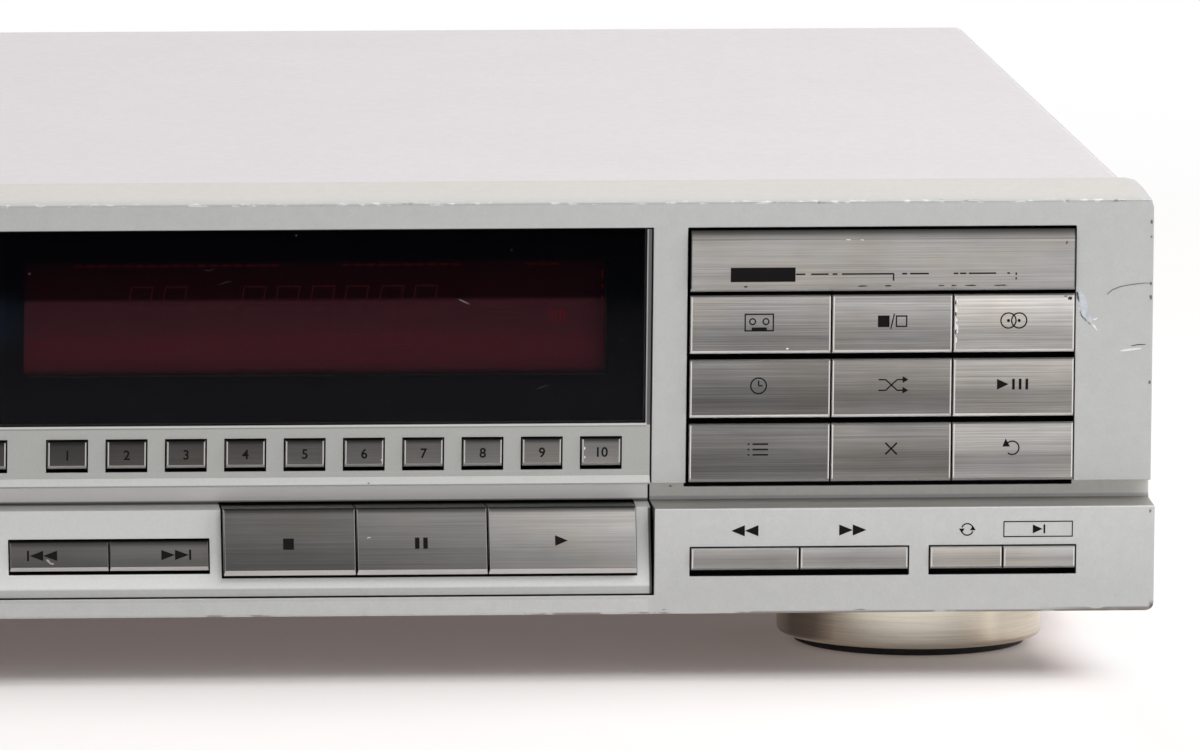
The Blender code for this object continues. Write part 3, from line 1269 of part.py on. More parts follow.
def pickup_sled():
    """The pickup's carriage on its rail, with the lens housing and the lens in it."""
    bottom = DECK_TOP + SLED_LIFT
    low = (TRAY_MIDDLE + SLED_LEFT, SLED_FRONT, bottom)
    high = (TRAY_MIDDLE + SLED_RIGHT, SLED_FRONT + SLED_LENGTH, bottom + SLED_HEIGHT)
    pivot = (TRAY_MIDDLE + RAIL_X, SLED_FRONT, RAIL_Z)
    sled = boxes("pickup_sled", [(low, high)], BLACK, pivot)
    middle = (TRAY_MIDDLE, SLED_FRONT + SLED_LENGTH / 2)
    sunk = bottom + SLED_HEIGHT / 2
    join(sled, rod("lens_housing", LENS_HOUSING_RADIUS, sunk, LENS_HOUSING_TOP, middle))
    join(sled, rod("lens", LENS_RADIUS, sunk, LENS_TOP, middle))
    ends = (SLED_FRONT - OVERRUN, SLED_FRONT + SLED_LENGTH + OVERRUN)
    bore = RAIL_RADIUS + RAIL_CLEARANCE
    cut(sled, rod("sled_bore", bore, *ends, (TRAY_MIDDLE + RAIL_X, RAIL_Z), "Y"))


def clamp_bridge():
    bottom = LOADER_TOP + FIT
    low = (TRAY_MIDDLE - LOADER_HALF_WIDTH, BRIDGE_FRONT, bottom)
    high = (TRAY_MIDDLE + LOADER_HALF_WIDTH, BRIDGE_BACK, bottom + BRIDGE_SHEET)
    bridge = boxes("clamp_bridge", [(low, high)], STEEL)
    ends = (bottom - OVERRUN, bottom + BRIDGE_SHEET + OVERRUN)
    cut(bridge, rod("clamp_hole", CLAMP_HOLE_RADIUS, *ends, SPINDLE, sides=ROUND_SIDES))


def disc_clamper():
    """The puck that holds a disc down, hanging in the bridge by its flange."""
    flange = LOADER_TOP + FIT + BRIDGE_SHEET + FIT
    profile = (
        (0, CLAMP_PAD_BOTTOM),
        (CLAMP_PAD_RADIUS, CLAMP_PAD_BOTTOM),
        (CLAMP_PAD_RADIUS, LOADER_TOP),
        (CLAMP_NECK_RADIUS, LOADER_TOP),
        (CLAMP_NECK_RADIUS, flange),
        (CLAMP_FLANGE_RADIUS, flange),
        (CLAMP_FLANGE_RADIUS, flange + CLAMP_FLANGE_THICK),
        (0, flange + CLAMP_FLANGE_THICK),
    )
    turned("disc_clamper", profile, SPINDLE, "Z", BLACK, (*SPINDLE, LOADER_TOP))


# Electronics


def front_board():
    low = (BOARD_LEFT, BOARD_FRONT, WALL + FIT)
    boxes("front_board", [(low, (BOARD_RIGHT, BOARD_FRONT + BOARD_THICK, BOARD_TOP))], BOARD_GREEN)


def main_board():
    """The main circuit board on its pads, with its capacitors, chips and heat sink."""
    bottom = BASE_TOP + STANDOFF_HEIGHT + FIT
    top = bottom + BOARD_THICK
    sunk = bottom + BOARD_THICK / 2
    width, depth = MAIN_BOARD_RIGHT - MAIN_BOARD_LEFT, MAIN_BOARD_BACK - MAIN_BOARD_FRONT

    def place(shares):
        return MAIN_BOARD_LEFT + shares[0] * width, MAIN_BOARD_FRONT + shares[1] * depth

    low = (MAIN_BOARD_LEFT, MAIN_BOARD_FRONT, bottom)
    board = boxes("main_board", [(low, (MAIN_BOARD_RIGHT, MAIN_BOARD_BACK, top))], BOARD_GREEN)
    for number, shares in enumerate(CAPACITOR_PLACES_SHARES, 1):
        join(board, rod(f"capacitor_{number}", CAPACITOR_RADIUS, sunk, top + CAPACITOR_HEIGHT, place(shares)))
    parts = [(shares, CHIP_SIZE) for shares in CHIP_PLACES_SHARES]
    parts.append((HEAT_SINK_PLACE_SHARES, HEAT_SINK_SIZE))
    pairs = []
    for shares, (size_x, size_y, size_z) in parts:
        x, y = place(shares)
        pairs.append(((x - size_x / 2, y - size_y / 2, sunk), (x + size_x / 2, y + size_y / 2, top + size_z)))
    join(board, boxes("board_parts", pairs))


def power_transformer():
    """A laminated core round a coil, on a foot plate."""
    bottom = BASE_TOP + FIT
    middle = bottom + TRANSFORMER_FOOT[2] / 2 + TRANSFORMER_CORE[2] / 2

    def around(size, z):
        low = (TRANSFORMER_X - size[0] / 2, TRANSFORMER_Y - size[1] / 2, z - size[2] / 2)
        return low, tuple(value + length for value, length in zip(low, size))

    core = boxes("power_transformer", [around(TRANSFORMER_CORE, middle)], CORE_STEEL)
    join(core, boxes("transformer_coil", [around(TRANSFORMER_COIL, middle)]))
    join(core, boxes("transformer_foot", [around(TRANSFORMER_FOOT, bottom + TRANSFORMER_FOOT[2] / 2)]))


def output_sockets():
    """Two round signal sockets on one block behind the rear panel."""
    width, depth, height = SOCKET_BLOCK
    back = REAR_PANEL_FRONT - FIT
    low = (SOCKETS_X - width / 2, back - depth, SOCKETS_Z - height / 2)
    sockets = boxes("output_sockets", [(low, (SOCKETS_X + width / 2, back, SOCKETS_Z + height / 2))], BLACK)
    for number, centre in enumerate(socket_centres(), 1):
        tip = CASE_BACK + SOCKET_REACH
        join(sockets, rod(f"socket_barrel_{number}", SOCKET_RADIUS, back - depth / 2, tip, centre, "Y"))
        cut(sockets, rod(f"socket_bore_{number}", SOCKET_BORE, back, tip + OVERRUN, centre, "Y"))


def mains_inlet():
    """The mains socket: a rounded cup through the rear panel with a rim and two pins."""
    front = CASE_BACK + INLET_RIM - INLET_LENGTH
    rear = CASE_BACK + INLET_RIM
    inlet = extruded("mains_inlet", inlet_outline(0), front, rear, "Y", BLACK)
    cup = (rear - INLET_DEPTH, rear + OVERRUN)
    cut(inlet, extruded("inlet_cup", inlet_outline(INLET_WALL), *cup, "Y"))
    for side in (-1, 1):
        name = f"inlet_pin_{'left' if side < 0 else 'right'}"
        centre = (INLET_X + side * INLET_PIN_SPREAD, INLET_Z)
        join(inlet, rod(name, INLET_PIN_RADIUS, cup[0] - FIT, rear - INLET_RIM, centre, "Y"))


def main():
    clear_scene()
    fascia()
    centre_panel()
    display_window()
    display_tube()
    keypad_plate()
    number_keys()
    keypad_keys()
    transport_keys()
    skip_keys()
    power_button()
    lower_keys()
    headphone_jack()
    top_cover()
    chassis_base()
    rear_panel()
    feet()
    disc_tray()
    tray_front()
    loader_frame()
    loading_gear()
    motor_pinion()
    loading_motor()
    optical_deck()
    turntable()
    pickup_sled()
    clamp_bridge()
    disc_clamper()
    front_board()
    main_board()
    power_transformer()
    output_sockets()
    mains_inlet()


main()
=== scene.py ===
"""Looks for the cd player: light, materials, printed signs, wear and small fittings around its solids."""
import math
import random

import bmesh
import bpy
from mathutils import Matrix, Vector
from mathutils.bvhtree import BVHTree


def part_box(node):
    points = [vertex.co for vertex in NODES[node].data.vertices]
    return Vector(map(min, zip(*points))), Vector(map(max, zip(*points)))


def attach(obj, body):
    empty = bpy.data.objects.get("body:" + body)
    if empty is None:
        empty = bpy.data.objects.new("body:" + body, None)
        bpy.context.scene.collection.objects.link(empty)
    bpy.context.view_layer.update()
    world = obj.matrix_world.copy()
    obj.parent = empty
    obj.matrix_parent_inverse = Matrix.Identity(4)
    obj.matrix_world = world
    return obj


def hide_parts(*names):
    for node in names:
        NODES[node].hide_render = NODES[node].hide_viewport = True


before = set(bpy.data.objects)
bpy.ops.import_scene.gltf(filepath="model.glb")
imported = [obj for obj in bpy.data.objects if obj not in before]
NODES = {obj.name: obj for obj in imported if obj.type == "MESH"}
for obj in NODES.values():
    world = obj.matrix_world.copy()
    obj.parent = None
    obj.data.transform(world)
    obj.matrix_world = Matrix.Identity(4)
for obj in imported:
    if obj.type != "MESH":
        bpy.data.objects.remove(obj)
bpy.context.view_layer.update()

# The front's own measure is in millimetres: x from its middle, z up from its bottom edge.
# That edge stands LIFT above the floor, and the upper front's face lies at y = FRONT_Y.
MM = 0.001
FRONT_Y = -0.1440
LIFT = 0.0152

# Points this close, in metres, are one
SAME = 0.000001

# Camera, as fitted to the photograph
CAMERA_PLACE = (-0.7212, -6.6257, 0.9789)
YAW, PITCH, ROLL = (math.radians(angle) for angle in (7.143, 7.939, 0.614))
LENS = 890.6
SENSOR = 36.0
CLIP = (0.5, 80.0)

# Light: each lamp's place, size in metres and power in watts
WORLD_LEVEL = 0.24
LAMPS = {
    "top_lamp": ((0.9, 0.12, 1.6), 1.5, 22.5),
    "side_lamp": ((1.6, -0.65, 0.8), 0.9, 8.5),
    "front_lamp": ((0.9, -1.7, 2.2), 1.2, 24.0),
}

# Floor: FLOOR_LIFT is the share of plain white in it close to the player
FLOOR_LIFT = 0.09
FLOOR_RINGS = (0.3, 0.6, 1.2, 2.4, 5.0, 12.0, 40.0)
ROUND = 96


def rgb(red, green, blue):
    """A colour given in screen values, as a shader takes it."""
    out = []
    for value in (red, green, blue):
        value /= 255
        out.append(((value + 0.055) / 1.055) ** 2.4 if value > 0.04 else value / 12.92)
    return (*out, 1.0)


def grey(value, warm=0.012):
    return rgb(value * (1 + warm), value, value * (1 - warm))


BLACK = rgb(8, 7, 7)
SCUFF = rgb(112, 104, 96)


def add_object(name, data):
    made = bpy.data.objects.new(name, data)
    bpy.context.scene.collection.objects.link(made)
    return made


# Camera and light


def aim():
    """The camera's turn, as a matrix of its right, up and back."""
    forward = Vector((math.sin(YAW) * math.cos(PITCH), math.cos(YAW) * math.cos(PITCH), -math.sin(PITCH)))
    level = Vector((math.cos(YAW), -math.sin(YAW), 0))
    upright = level.cross(forward)
    right = level * math.cos(ROLL) + upright * math.sin(ROLL)
    up = upright * math.cos(ROLL) - level * math.sin(ROLL)
    return Matrix((right, up, -forward)).transposed()


def make_camera():
    data = bpy.data.cameras.new("camera")
    data.lens, data.sensor_width, data.sensor_fit = LENS, SENSOR, "HORIZONTAL"
    data.clip_start, data.clip_end = CLIP
    camera = add_object("camera", data)
    camera.matrix_world = Matrix.Translation(CAMERA_PLACE) @ aim().to_4x4()
    bpy.context.scene.camera = camera


def make_lamp(name, place, size, power):
    data = bpy.data.lights.new(name, "AREA")
    data.size, data.energy = size, power
    lamp = add_object(name, data)
    lamp.location = place
    lamp.rotation_mode = "QUATERNION"
    lamp.rotation_quaternion = (-Vector(place)).to_track_quat("-Z", "Y")
    lamp.visible_camera = False


def seen_plainly(nodes, links):
    """1 for rays from the camera, a mirror or glass, else 0."""
    path = nodes.new("ShaderNodeLightPath")
    total = path.outputs["Is Camera Ray"]
    for name in ("Is Glossy Ray", "Is Transmission Ray"):
        add = nodes.new("ShaderNodeMath")
        add.operation = "MAXIMUM"
        links.new(total, add.inputs[0])
        links.new(path.outputs[name], add.inputs[1])
        total = add.outputs[0]
    return total


def make_world():
    world = bpy.data.worlds.new("studio")
    world.use_nodes = True
    nodes, links = world.node_tree.nodes, world.node_tree.links
    level = nodes.new("ShaderNodeMapRange")
    links.new(seen_plainly(nodes, links), level.inputs["Value"])
    level.inputs["To Min"].default_value = WORLD_LEVEL
    level.inputs["To Max"].default_value = 1.0
    nodes["Background"].inputs["Color"].default_value = (1, 1, 1, 1)
    links.new(level.outputs[0], nodes["Background"].inputs["Strength"])
    bpy.context.scene.world = world


# Materials


class Look:
    """One material, built from nodes over the object's own coordinates."""

    def __init__(self, name, roughness=0.5, metallic=0.0, level=0.5):
        self.material = bpy.data.materials.new(name)
        self.material.use_nodes = True
        self.nodes = self.material.node_tree.nodes
        self.links = self.material.node_tree.links
        self.shader = self.nodes["Principled BSDF"]
        self.shader.inputs["Roughness"].default_value = roughness
        self.shader.inputs["Metallic"].default_value = metallic
        self.shader.inputs["Specular IOR Level"].default_value = level
        spot = self.node("TexCoord")
        self.place = spot.outputs["Object"]
        self.x, self.y, self.z = self.node("SeparateXYZ", {0: self.place}).outputs
        self.nx, self.ny, self.nz = self.node("SeparateXYZ", {0: spot.outputs["Normal"]}).outputs

    def node(self, kind, inputs=None, **settings):
        made = self.nodes.new("ShaderNode" + kind)
        for key, value in settings.items():
            setattr(made, key, value)
        for name, value in (inputs or {}).items():
            self.put(made.inputs[name], value)
        return made

    def put(self, socket, value):
        if isinstance(value, bpy.types.NodeSocket):
            self.links.new(value, socket)
        else:
            socket.default_value = value[:3] if socket.type == "VECTOR" else value

    def calc(self, operation, first, second=0.0):
        return self.node("Math", {0: first, 1: second}, operation=operation).outputs[0]

    def times(self, *values):
        total = values[0]
        for value in values[1:]:
            total = self.calc("MULTIPLY", total, value)
        return total

    def span(self, value, low, high, at_low=0.0, at_high=1.0, kind="SMOOTHSTEP"):
        """Goes from one level to another as a value goes from low to high."""
        ends = {"Value": value, "From Min": low, "From Max": high, "To Min": at_low, "To Max": at_high}
        return self.node("MapRange", ends, interpolation_type=kind).outputs[0]

    def band(self, value, low, high, edge):
        """1 between two values, fading to 0 over an edge."""
        falls = self.span(value, high - edge, high + edge, 1.0, 0.0)
        return self.times(self.span(value, low - edge, low + edge), falls)

    def rise(self, low, high, *levels):
        """A span over the front's height, in millimetres."""
        return self.span(self.z, low * MM + LIFT, high * MM + LIFT, *levels)

    def depth(self, near, far):
        """A span over the depth behind the upper front's face, in millimetres."""
        return self.span(self.y, near * MM + FRONT_Y, far * MM + FRONT_Y)

    def rows(self, low, high, edge=0.2):
        """1 between two heights of the front, in millimetres."""
        return self.band(self.z, low * MM + LIFT, high * MM + LIFT, edge * MM)

    def patch(self, x0, x1, z0, z1, edge=0.2):
        """1 in a rectangle of the front, in millimetres."""
        return self.times(self.band(self.x, x0 * MM, x1 * MM, edge * MM), self.rows(z0, z1, edge))

    def noise(self, scale, stretch=(1, 1, 1), detail=2.0, shift=0.0):
        size = tuple(scale * value for value in stretch)
        spread = self.node("Mapping", {"Vector": self.place, "Scale": size, "Location": (shift, shift, shift)})
        return self.node("TexNoise", {"Vector": spread.outputs[0], "Scale": 1.0, "Detail": detail}).outputs[0]

    def spots(self, low, high, scale, stretch=(1, 1, 1), detail=4.0, shift=0.0):
        """1 in irregular spots, where a noise passes a level."""
        return self.span(self.noise(scale, stretch, detail, shift), low, high)

    def mix(self, share, first, second):
        return self.node("Mix", {0: share, 6: first, 7: second}, data_type="RGBA").outputs[2]

    def over(self, colour, tone, *masks):
        """A colour with a tone laid over it, by the product of some masks and shares."""
        return self.mix(self.times(*masks), colour, tone)

    def scale(self, colour, value):
        return self.node("VectorMath", {0: colour, 3: value}, operation="SCALE").outputs[0]

    def toned(self, colour, tint):
        return self.node("VectorMath", {0: colour, 1: tint}, operation="MULTIPLY").outputs[0]

    def grain(self, colour, amount, value):
        """A colour made lighter and darker by a value around a half."""
        return self.scale(colour, self.span(value, 0.25, 0.75, 1 - amount, 1 + amount, "LINEAR"))

    def varied(self, colour, amount, *noise, **settings):
        """A colour made lighter and darker by a noise."""
        return self.grain(colour, amount, self.noise(*noise, **settings))

    def ramp(self, value, stops):
        made = self.node("ValToRGB", {0: value})
        points = made.color_ramp.elements
        while len(points) < len(stops):
            points.new(1.0)
        for point, (place, colour) in zip(points, stops):
            point.position = place
            point.color = colour
        return made.outputs[0]

    def bump(self, height, strength):
        made = self.node("Bump", {"Height": height, "Strength": strength, "Distance": 0.0001})
        self.links.new(made.outputs[0], self.shader.inputs["Normal"])

    def rough(self, value, low, high, at_low, at_high):
        """Makes the roughness follow a value."""
        self.put(self.shader.inputs["Roughness"], self.span(value, low, high, at_low, at_high, "LINEAR"))

    def colour(self, value):
        self.put(self.shader.inputs["Base Color"], value)


# FINE is the scale of the paint's main noise. Its layers are given as amount, scale, detail and shift.
FINE = 1500.0
PAINT_GRAINS = ((0.022, FINE, 2.0, 0.0), (0.04, 3800.0, 1.0, 3.0), (0.03, 420.0, 3.0, 11.0), (0.012, 30.0, 2.0, 7.0))


def paint(look, tint):
    """Satin silver paint: a fine sparkle over slow mottling."""
    for amount, scale, detail, shift in PAINT_GRAINS:
        tint = look.varied(tint, amount, scale, detail=detail, shift=shift)
    return tint


def shaded(look, tint):
    """Painted shade: a colour that gets a little darker towards the left, as in the photograph."""
    return look.scale(tint, look.span(look.x, -0.08, 0.16, 0.90, 1.0))


def finish_front(look, colour):
    """Makes the walls of the openings black, a painted shade for the dark gaps between the keys, and adds the
    paint's bump.
    """
    # Painted shade: the sideways walls of the openings are made black
    painted_wall_shade = look.times(
        look.calc("LESS_THAN", look.calc("ABSOLUTE", look.ny), 0.05),
        look.calc("LESS_THAN", look.calc("ABSOLUTE", look.x), 0.2146),
        look.calc("GREATER_THAN", look.z, LIFT + 0.0006),
        look.calc("LESS_THAN", look.z, LIFT + 0.0905),
    )
    look.colour(look.over(colour, BLACK, painted_wall_shade))
    look.bump(look.noise(FINE, shift=2.0), 0.12)
    return look


def fascia_look():
    """Paint, warmer on top and worn along its edges, with painted shade towards the left and in the groove, and
    painted light on the groove's wall and the lower front.
    """
    look = Look("fascia_paint", 0.45, 0.25)
    colour = paint(look, shaded(look, rgb(192, 193, 192)))
    # Warmer and a little lighter on the top face
    colour = look.over(colour, paint(look, rgb(199, 194, 190)), look.rise(91.5, 92.0))
    # Painted light: lighter towards the top of the lower front, and under the panel
    painted_light_low = look.times(look.rise(6, 21, 0.0, 0.10, "LINEAR"), look.calc("LESS_THAN", look.z, LIFT + 0.0234))
    painted_light_low = look.calc("MAXIMUM", painted_light_low, look.times(look.patch(-215.0, 101.5, 0.5, 3.4), 0.085))
    colour = look.scale(colour, look.calc("ADD", painted_light_low, 1.0))
    # Upper edge
    edge = look.rows(90.9, 91.5, 0.12)
    colour = look.over(colour, rgb(178, 178, 175), edge, 0.8)
    colour = look.over(colour, rgb(238, 238, 238), edge, look.spots(0.56, 0.64, 420.0, (1, 1, 3)), 0.6)
    nicks = look.spots(0.64, 0.68, 260.0, (1, 1, 3), shift=12.0)
    colour = look.over(colour, rgb(112, 108, 104), edge, nicks, 0.7)
    # Lower edge, more worn towards the right
    along = look.span(look.x, 0.03, 0.20, 0.10, 0.34, "LINEAR")
    uneven = look.calc("ADD", look.noise(300.0, (0.3, 1, 1), 4.0, 5.0), along)
    colour = look.over(colour, SCUFF, look.rise(0.6, 0.3), look.span(uneven, 0.68, 0.74), 0.75)
    end = look.span(look.x, 0.186, 0.204)
    rubbed = look.spots(0.45, 0.51, 300.0, (0.35, 1, 2), shift=15.0)
    colour = look.over(colour, SCUFF, look.rise(1.1, 0.7), end, rubbed, 0.75)
    # Lower corners, upper corners and ends
    reach = look.calc("ABSOLUTE", look.x)
    grime = look.spots(0.3, 0.5, 700.0, detail=3.0)
    colour = look.over(colour, rgb(104, 96, 90), look.rise(2.6, 1.0), look.span(reach, 0.2136, 0.2144), grime)
    bare = look.spots(0.40, 0.56, 500.0, shift=3.0), 0.75
    colour = look.over(colour, rgb(196, 196, 200), look.rise(89.3, 89.9), look.span(reach, 0.2108, 0.2128), *bare)
    chips = look.spots(0.66, 0.70, 260.0, shift=9.0)
    colour = look.over(colour, rgb(110, 106, 102), look.span(reach, 0.2144, 0.2149), chips, 0.7)
    # Groove: painted shade on its slope, painted light on its wall and painted shade in the corner between them
    painted_slope_shade = look.varied(rgb(127, 125, 118), 0.12, 400.0, (0.3, 1, 1), 3.0, 6.0)
    colour = look.over(colour, painted_slope_shade, look.rows(23.45, 24.3, 0.1), look.depth(-7.0, -6.0), 0.85)
    painted_wall_light = look.varied(rgb(218, 216, 210), 0.05, 700.0, detail=3.0)
    colour = look.over(colour, painted_wall_light, look.depth(2.4, 2.9), look.rows(25.0, 28.3), 0.8)
    colour = look.over(colour, rgb(84, 80, 76), look.rows(24.0, 25.0, 0.3), look.depth(2.6, 3.1), 0.2)
    return finish_front(look, colour)


# Painted lines across the panel: a highlight and a shadow at the top of the key strip and a shadow under the lip;
# their rectangle in millimetres, tone and share
PANEL_HIGHLIGHT_AND_SHADOW_LINES = (
    ((-50.6, 101.6, 41.45, 41.85), 214, 0.6),
    ((-50.6, 101.6, 41.1, 41.4), 112, 0.6),
    ((-213.0, 102.4, 28.2, 28.62), 92, 0.8),
)


def panel_look():
    """Paint with a darker key strip; painted light on a bed that lightens downwards and on the groove's wall;
    painted shade towards the left, in the groove's corner and in the gaps at the right; and painted highlight and
    shadow lines.
    """
    look = Look("panel_paint", 0.45, 0.25)
    colour = paint(look, shaded(look, rgb(189, 190, 188)))
    # Key strip and the lip under it
    colour = look.over(colour, look.varied(rgb(174, 175, 171), 0.03, FINE), look.rows(31.2, 41.2, 0.3))
    colour = look.over(colour, look.varied(rgb(174, 175, 172), 0.03, FINE), look.rows(28.3, 31.2))
    # Dark margins at the right: painted shade in the gaps along the panel's right edge
    before = look.calc("LESS_THAN", look.y, FRONT_Y + 0.001)
    colour = look.over(colour, rgb(64, 64, 64), look.patch(101.6, 102.6, 41.5, 86.4), before, 0.9)
    colour = look.over(colour, rgb(40, 39, 38), look.patch(101.85, 102.6, 3.0, 23.2), 0.9)
    # Key bed: painted light, lighter downwards where it tilts up towards the light
    down = look.rise(23.5, 6.2, 0.0, 1.0, "LINEAR")
    light = look.ramp(down, ((0.0, rgb(196, 197, 195)), (0.55, rgb(200, 201, 199)), (1.0, rgb(222, 223, 221))))
    painted_bed_light = look.rows(6.2, 23.25), look.depth(0.0, -1.0), look.span(look.x, 0.1019, 0.1017)
    colour = look.over(colour, look.varied(light, 0.03, FINE), *painted_bed_light, 0.85)
    # Groove: painted light on its wall, lighter over the transport keys, and painted shade in the corner under it
    painted_wall_light = look.mix(look.span(look.x, -0.006, 0.012), rgb(232, 232, 229), rgb(254, 253, 250))
    colour = look.over(colour, painted_wall_light, look.depth(2.8, 3.1), look.rows(24.3, 28.2, 0.1), 0.9)
    colour = look.over(colour, rgb(74, 71, 68), look.depth(1.4, 2.6), look.rows(23.6, 24.6), 0.85)
    # Painted highlight and shadow lines
    for place, tone, share in PANEL_HIGHLIGHT_AND_SHADOW_LINES:
        colour = look.over(colour, grey(tone), look.patch(*place, 0.08), share)
    # The rebate around the window
    colour = look.over(colour, BLACK, look.patch(-50.3, 101.2, 42.1, 86.4), look.depth(0.4, 0.8))
    return finish_front(look, colour)


def plain_paint(name, tint, shaded_sides=None):
    """Paint over all, with another tint, a painted shade, where the corners round over to the sides."""
    look = Look(name, 0.5, 0.1)
    colour = paint(look, tint)
    if shaded_sides:
        # Painted shade on the sides and the corners that round over to them
        sideways = look.span(look.calc("ABSOLUTE", look.nx), 0.15, 0.6)
        colour = look.over(colour, paint(look, shaded_sides), sideways)
    look.colour(colour)
    look.bump(look.noise(1100.0, shift=2.0), 0.1)
    return look


def plastic(name, tint, roughness=0.5, mottle=0.06, pebble=900.0):
    """Moulded plastic with a fine grain."""
    look = Look(name, roughness)
    colour = look.varied(tint, mottle, pebble)
    look.colour(look.varied(colour, mottle, 60.0, detail=3.0, shift=5.0))
    look.bump(look.noise(pebble * 1.5, shift=1.0), 0.25)
    return look


def plated(name, tint, roughness=0.38, metallic=0.9):
    """Plated sheet steel with soft streaks and a faint spangle."""
    look = Look(name, roughness, metallic)
    colour = look.varied(tint, 0.08, 40.0, (0.4, 3, 1), 4.0)
    look.colour(look.varied(colour, 0.05, 260.0, detail=3.0, shift=4.0))
    look.rough(look.noise(90.0, detail=3.0), 0.3, 0.7, roughness - 0.08, roughness + 0.1)
    return look


def wear(node, look):
    NODES[node].material_slots[0].material = look.material


# Brushed metal: the widths of its rims in metres, where painted highlights lie, and the tint of its warmer patches
LOW_RIM = 0.0004
SIDE_RIM = 0.00042
WARMER = (1.02, 0.98, 0.93)


def brushed(
    node, tint, profile, edges, streak=0.13, low_rim=LOW_RIM, metallic=0.8, side_rim=SIDE_RIM, sheen_lean=(1.0, 1.0),
    name=None,
):
    """Dresses a node in metal brushed along its width.

    The profile gives its tone at each height, a painted sheen over the metal's tint; edges the tones of the lower,
    side and upper bevels, painted reflections; and lean how light it is at its left and right, a painted falloff of
    the light.
    """
    low_reflection, side_reflection, top_reflection = edges
    lo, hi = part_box(node)
    look = Look(name or node, 0.34, metallic)
    height = look.span(look.z, lo[2], hi[2], kind="LINEAR")
    # Painted sheen: the tone follows the profile up the face and the lean from left to right
    stops = [(place, grey(tint * share)) for place, share in profile]
    colour = look.scale(look.ramp(height, stops), look.span(look.x, lo[0], hi[0], *sheen_lean, "LINEAR"))
    shift = lo[0] * 90 + lo[2] * 170
    colour = look.varied(colour, streak * 1.25, 1.0, (14, 14, 3400), 3.0, shift)
    colour = look.varied(colour, streak, 1.0, (60, 60, 8000), 2.0, shift + 5)
    colour = look.varied(colour, 0.10, 70.0, (1, 1, 2), 2.0, shift)
    colour = look.over(colour, look.toned(colour, WARMER), look.spots(0.42, 0.62, 48.0, (1, 1, 1.6), 3.0, shift + 9))
    # Painted highlights and reflections on the side rims, the lower rim and the bevels
    inner = look.band(look.x, lo[0] + side_rim, hi[0] - side_rim, 0.00008)
    colour = look.over(colour, grey(side_reflection), look.calc("SUBTRACT", 1.0, inner), 0.85)
    rim = look.span(look.z, lo[2] + low_rim + 0.0001, lo[2] + low_rim - 0.0001)
    colour = look.over(colour, grey(low_reflection), rim, 0.9)
    front = look.calc("LESS_THAN", look.ny, -0.2)
    for sign, tone in ((-1, low_reflection), (1, top_reflection)):
        faced = look.span(look.times(look.nz, float(sign)), 0.33, 0.42)
        colour = look.over(colour, look.varied(grey(tone), 0.08, 1.0, (60, 60, 900), 3.0, shift), faced, front)
    sides = look.span(look.calc("ABSOLUTE", look.nx), 0.3, 0.5)
    colour = look.over(colour, grey(side_reflection), sides, front)
    # Painted shade: the faces that do not face the front, the sides in the gaps, are near black
    look.colour(look.over(colour, grey(22), look.calc("GREATER_THAN", look.ny, -0.19)))
    look.rough(look.noise(1.0, (30, 30, 3000), 2.0, shift), 0.3, 0.7, 0.28, 0.44)
    wear(node, look)


# Keys: tones from left to right, the metal's tint with a painted sheen that grows towards the right, and profiles of
# place and share from the bottom up, a painted sheen and shade over their height
NUMBER_TONES = (60, 118)
NUMBER_BEND = 1.3
NUMBER_PROFILE = (
    (0.0, 1.1), (0.3, 1.04), (0.6, 0.98), (0.78, 0.95), (0.84, 0.85), (0.9, 0.6), (0.95, 0.4), (1.0, 0.15),
)
PAD_ROWS = (
    (
        (("tape_length_key", 142), ("tape_side_key", 150), ("disc_link_key", 186)),
        ((0.0, 0.9), (0.1, 0.86), (0.3, 0.86), (0.5, 0.96), (0.72, 1.09), (0.9, 1.12), (0.97, 1.1), (1.0, 0.95)),
    ),
    (
        (("time_mode_key", 106), ("random_key", 124), ("music_scan_key", 151)),
        ((0.0, 1.0), (0.08, 0.94), (0.25, 0.86), (0.42, 0.9), (0.6, 1.04), (0.8, 1.16), (0.95, 1.18), (1.0, 0.8)),
    ),
    (
        (("program_key", 106), ("clear_key", 121), ("recall_key", 158)),
        ((0.0, 1.12), (0.07, 0.98), (0.2, 0.88), (0.42, 0.88), (0.58, 1.04), (0.8, 1.12), (0.95, 1.14), (1.0, 0.8)),
    ),
)
TRANSPORT_KEYS = (("stop_key", 84, (0.70, 0.88)), ("pause_key", 110, (0.70, 0.93)), ("play_key", 148, (0.71, 1.05)))
TRANSPORT_PROFILE = (
    (0.0, 0.84), (0.1, 0.86), (0.24, 0.9), (0.32, 0.92), (0.4, 0.97), (0.52, 1.06), (0.6, 1.1), (0.7, 1.13),
    (0.85, 1.16), (0.91, 1.17), (0.93, 1.0), (0.955, 0.62), (1.0, 0.2),
)
SKIP_PROFILE = (
    (0.0, 0.82), (0.3, 0.88), (0.55, 1.0), (0.78, 1.03), (0.84, 0.9), (0.9, 0.6), (0.95, 0.4), (1.0, 0.15),
)
SLOT_KEYS = (("search_back_key", 140), ("search_forward_key", 146), ("repeat_key", 162), ("auto_cue_key", 166))
SLOT_PROFILE = ((0.0, 1.05), (0.3, 0.95), (0.5, 0.95), (0.72, 1.06), (0.9, 1.14), (1.0, 0.8))
PLATE_PROFILE = (
    (0.0, 0.98), (0.2, 1.0), (0.55, 1.03), (0.79, 1.0), (0.83, 1.06), (0.845, 0.84), (0.9, 0.68), (0.95, 0.45),
    (1.0, 0.1),
)


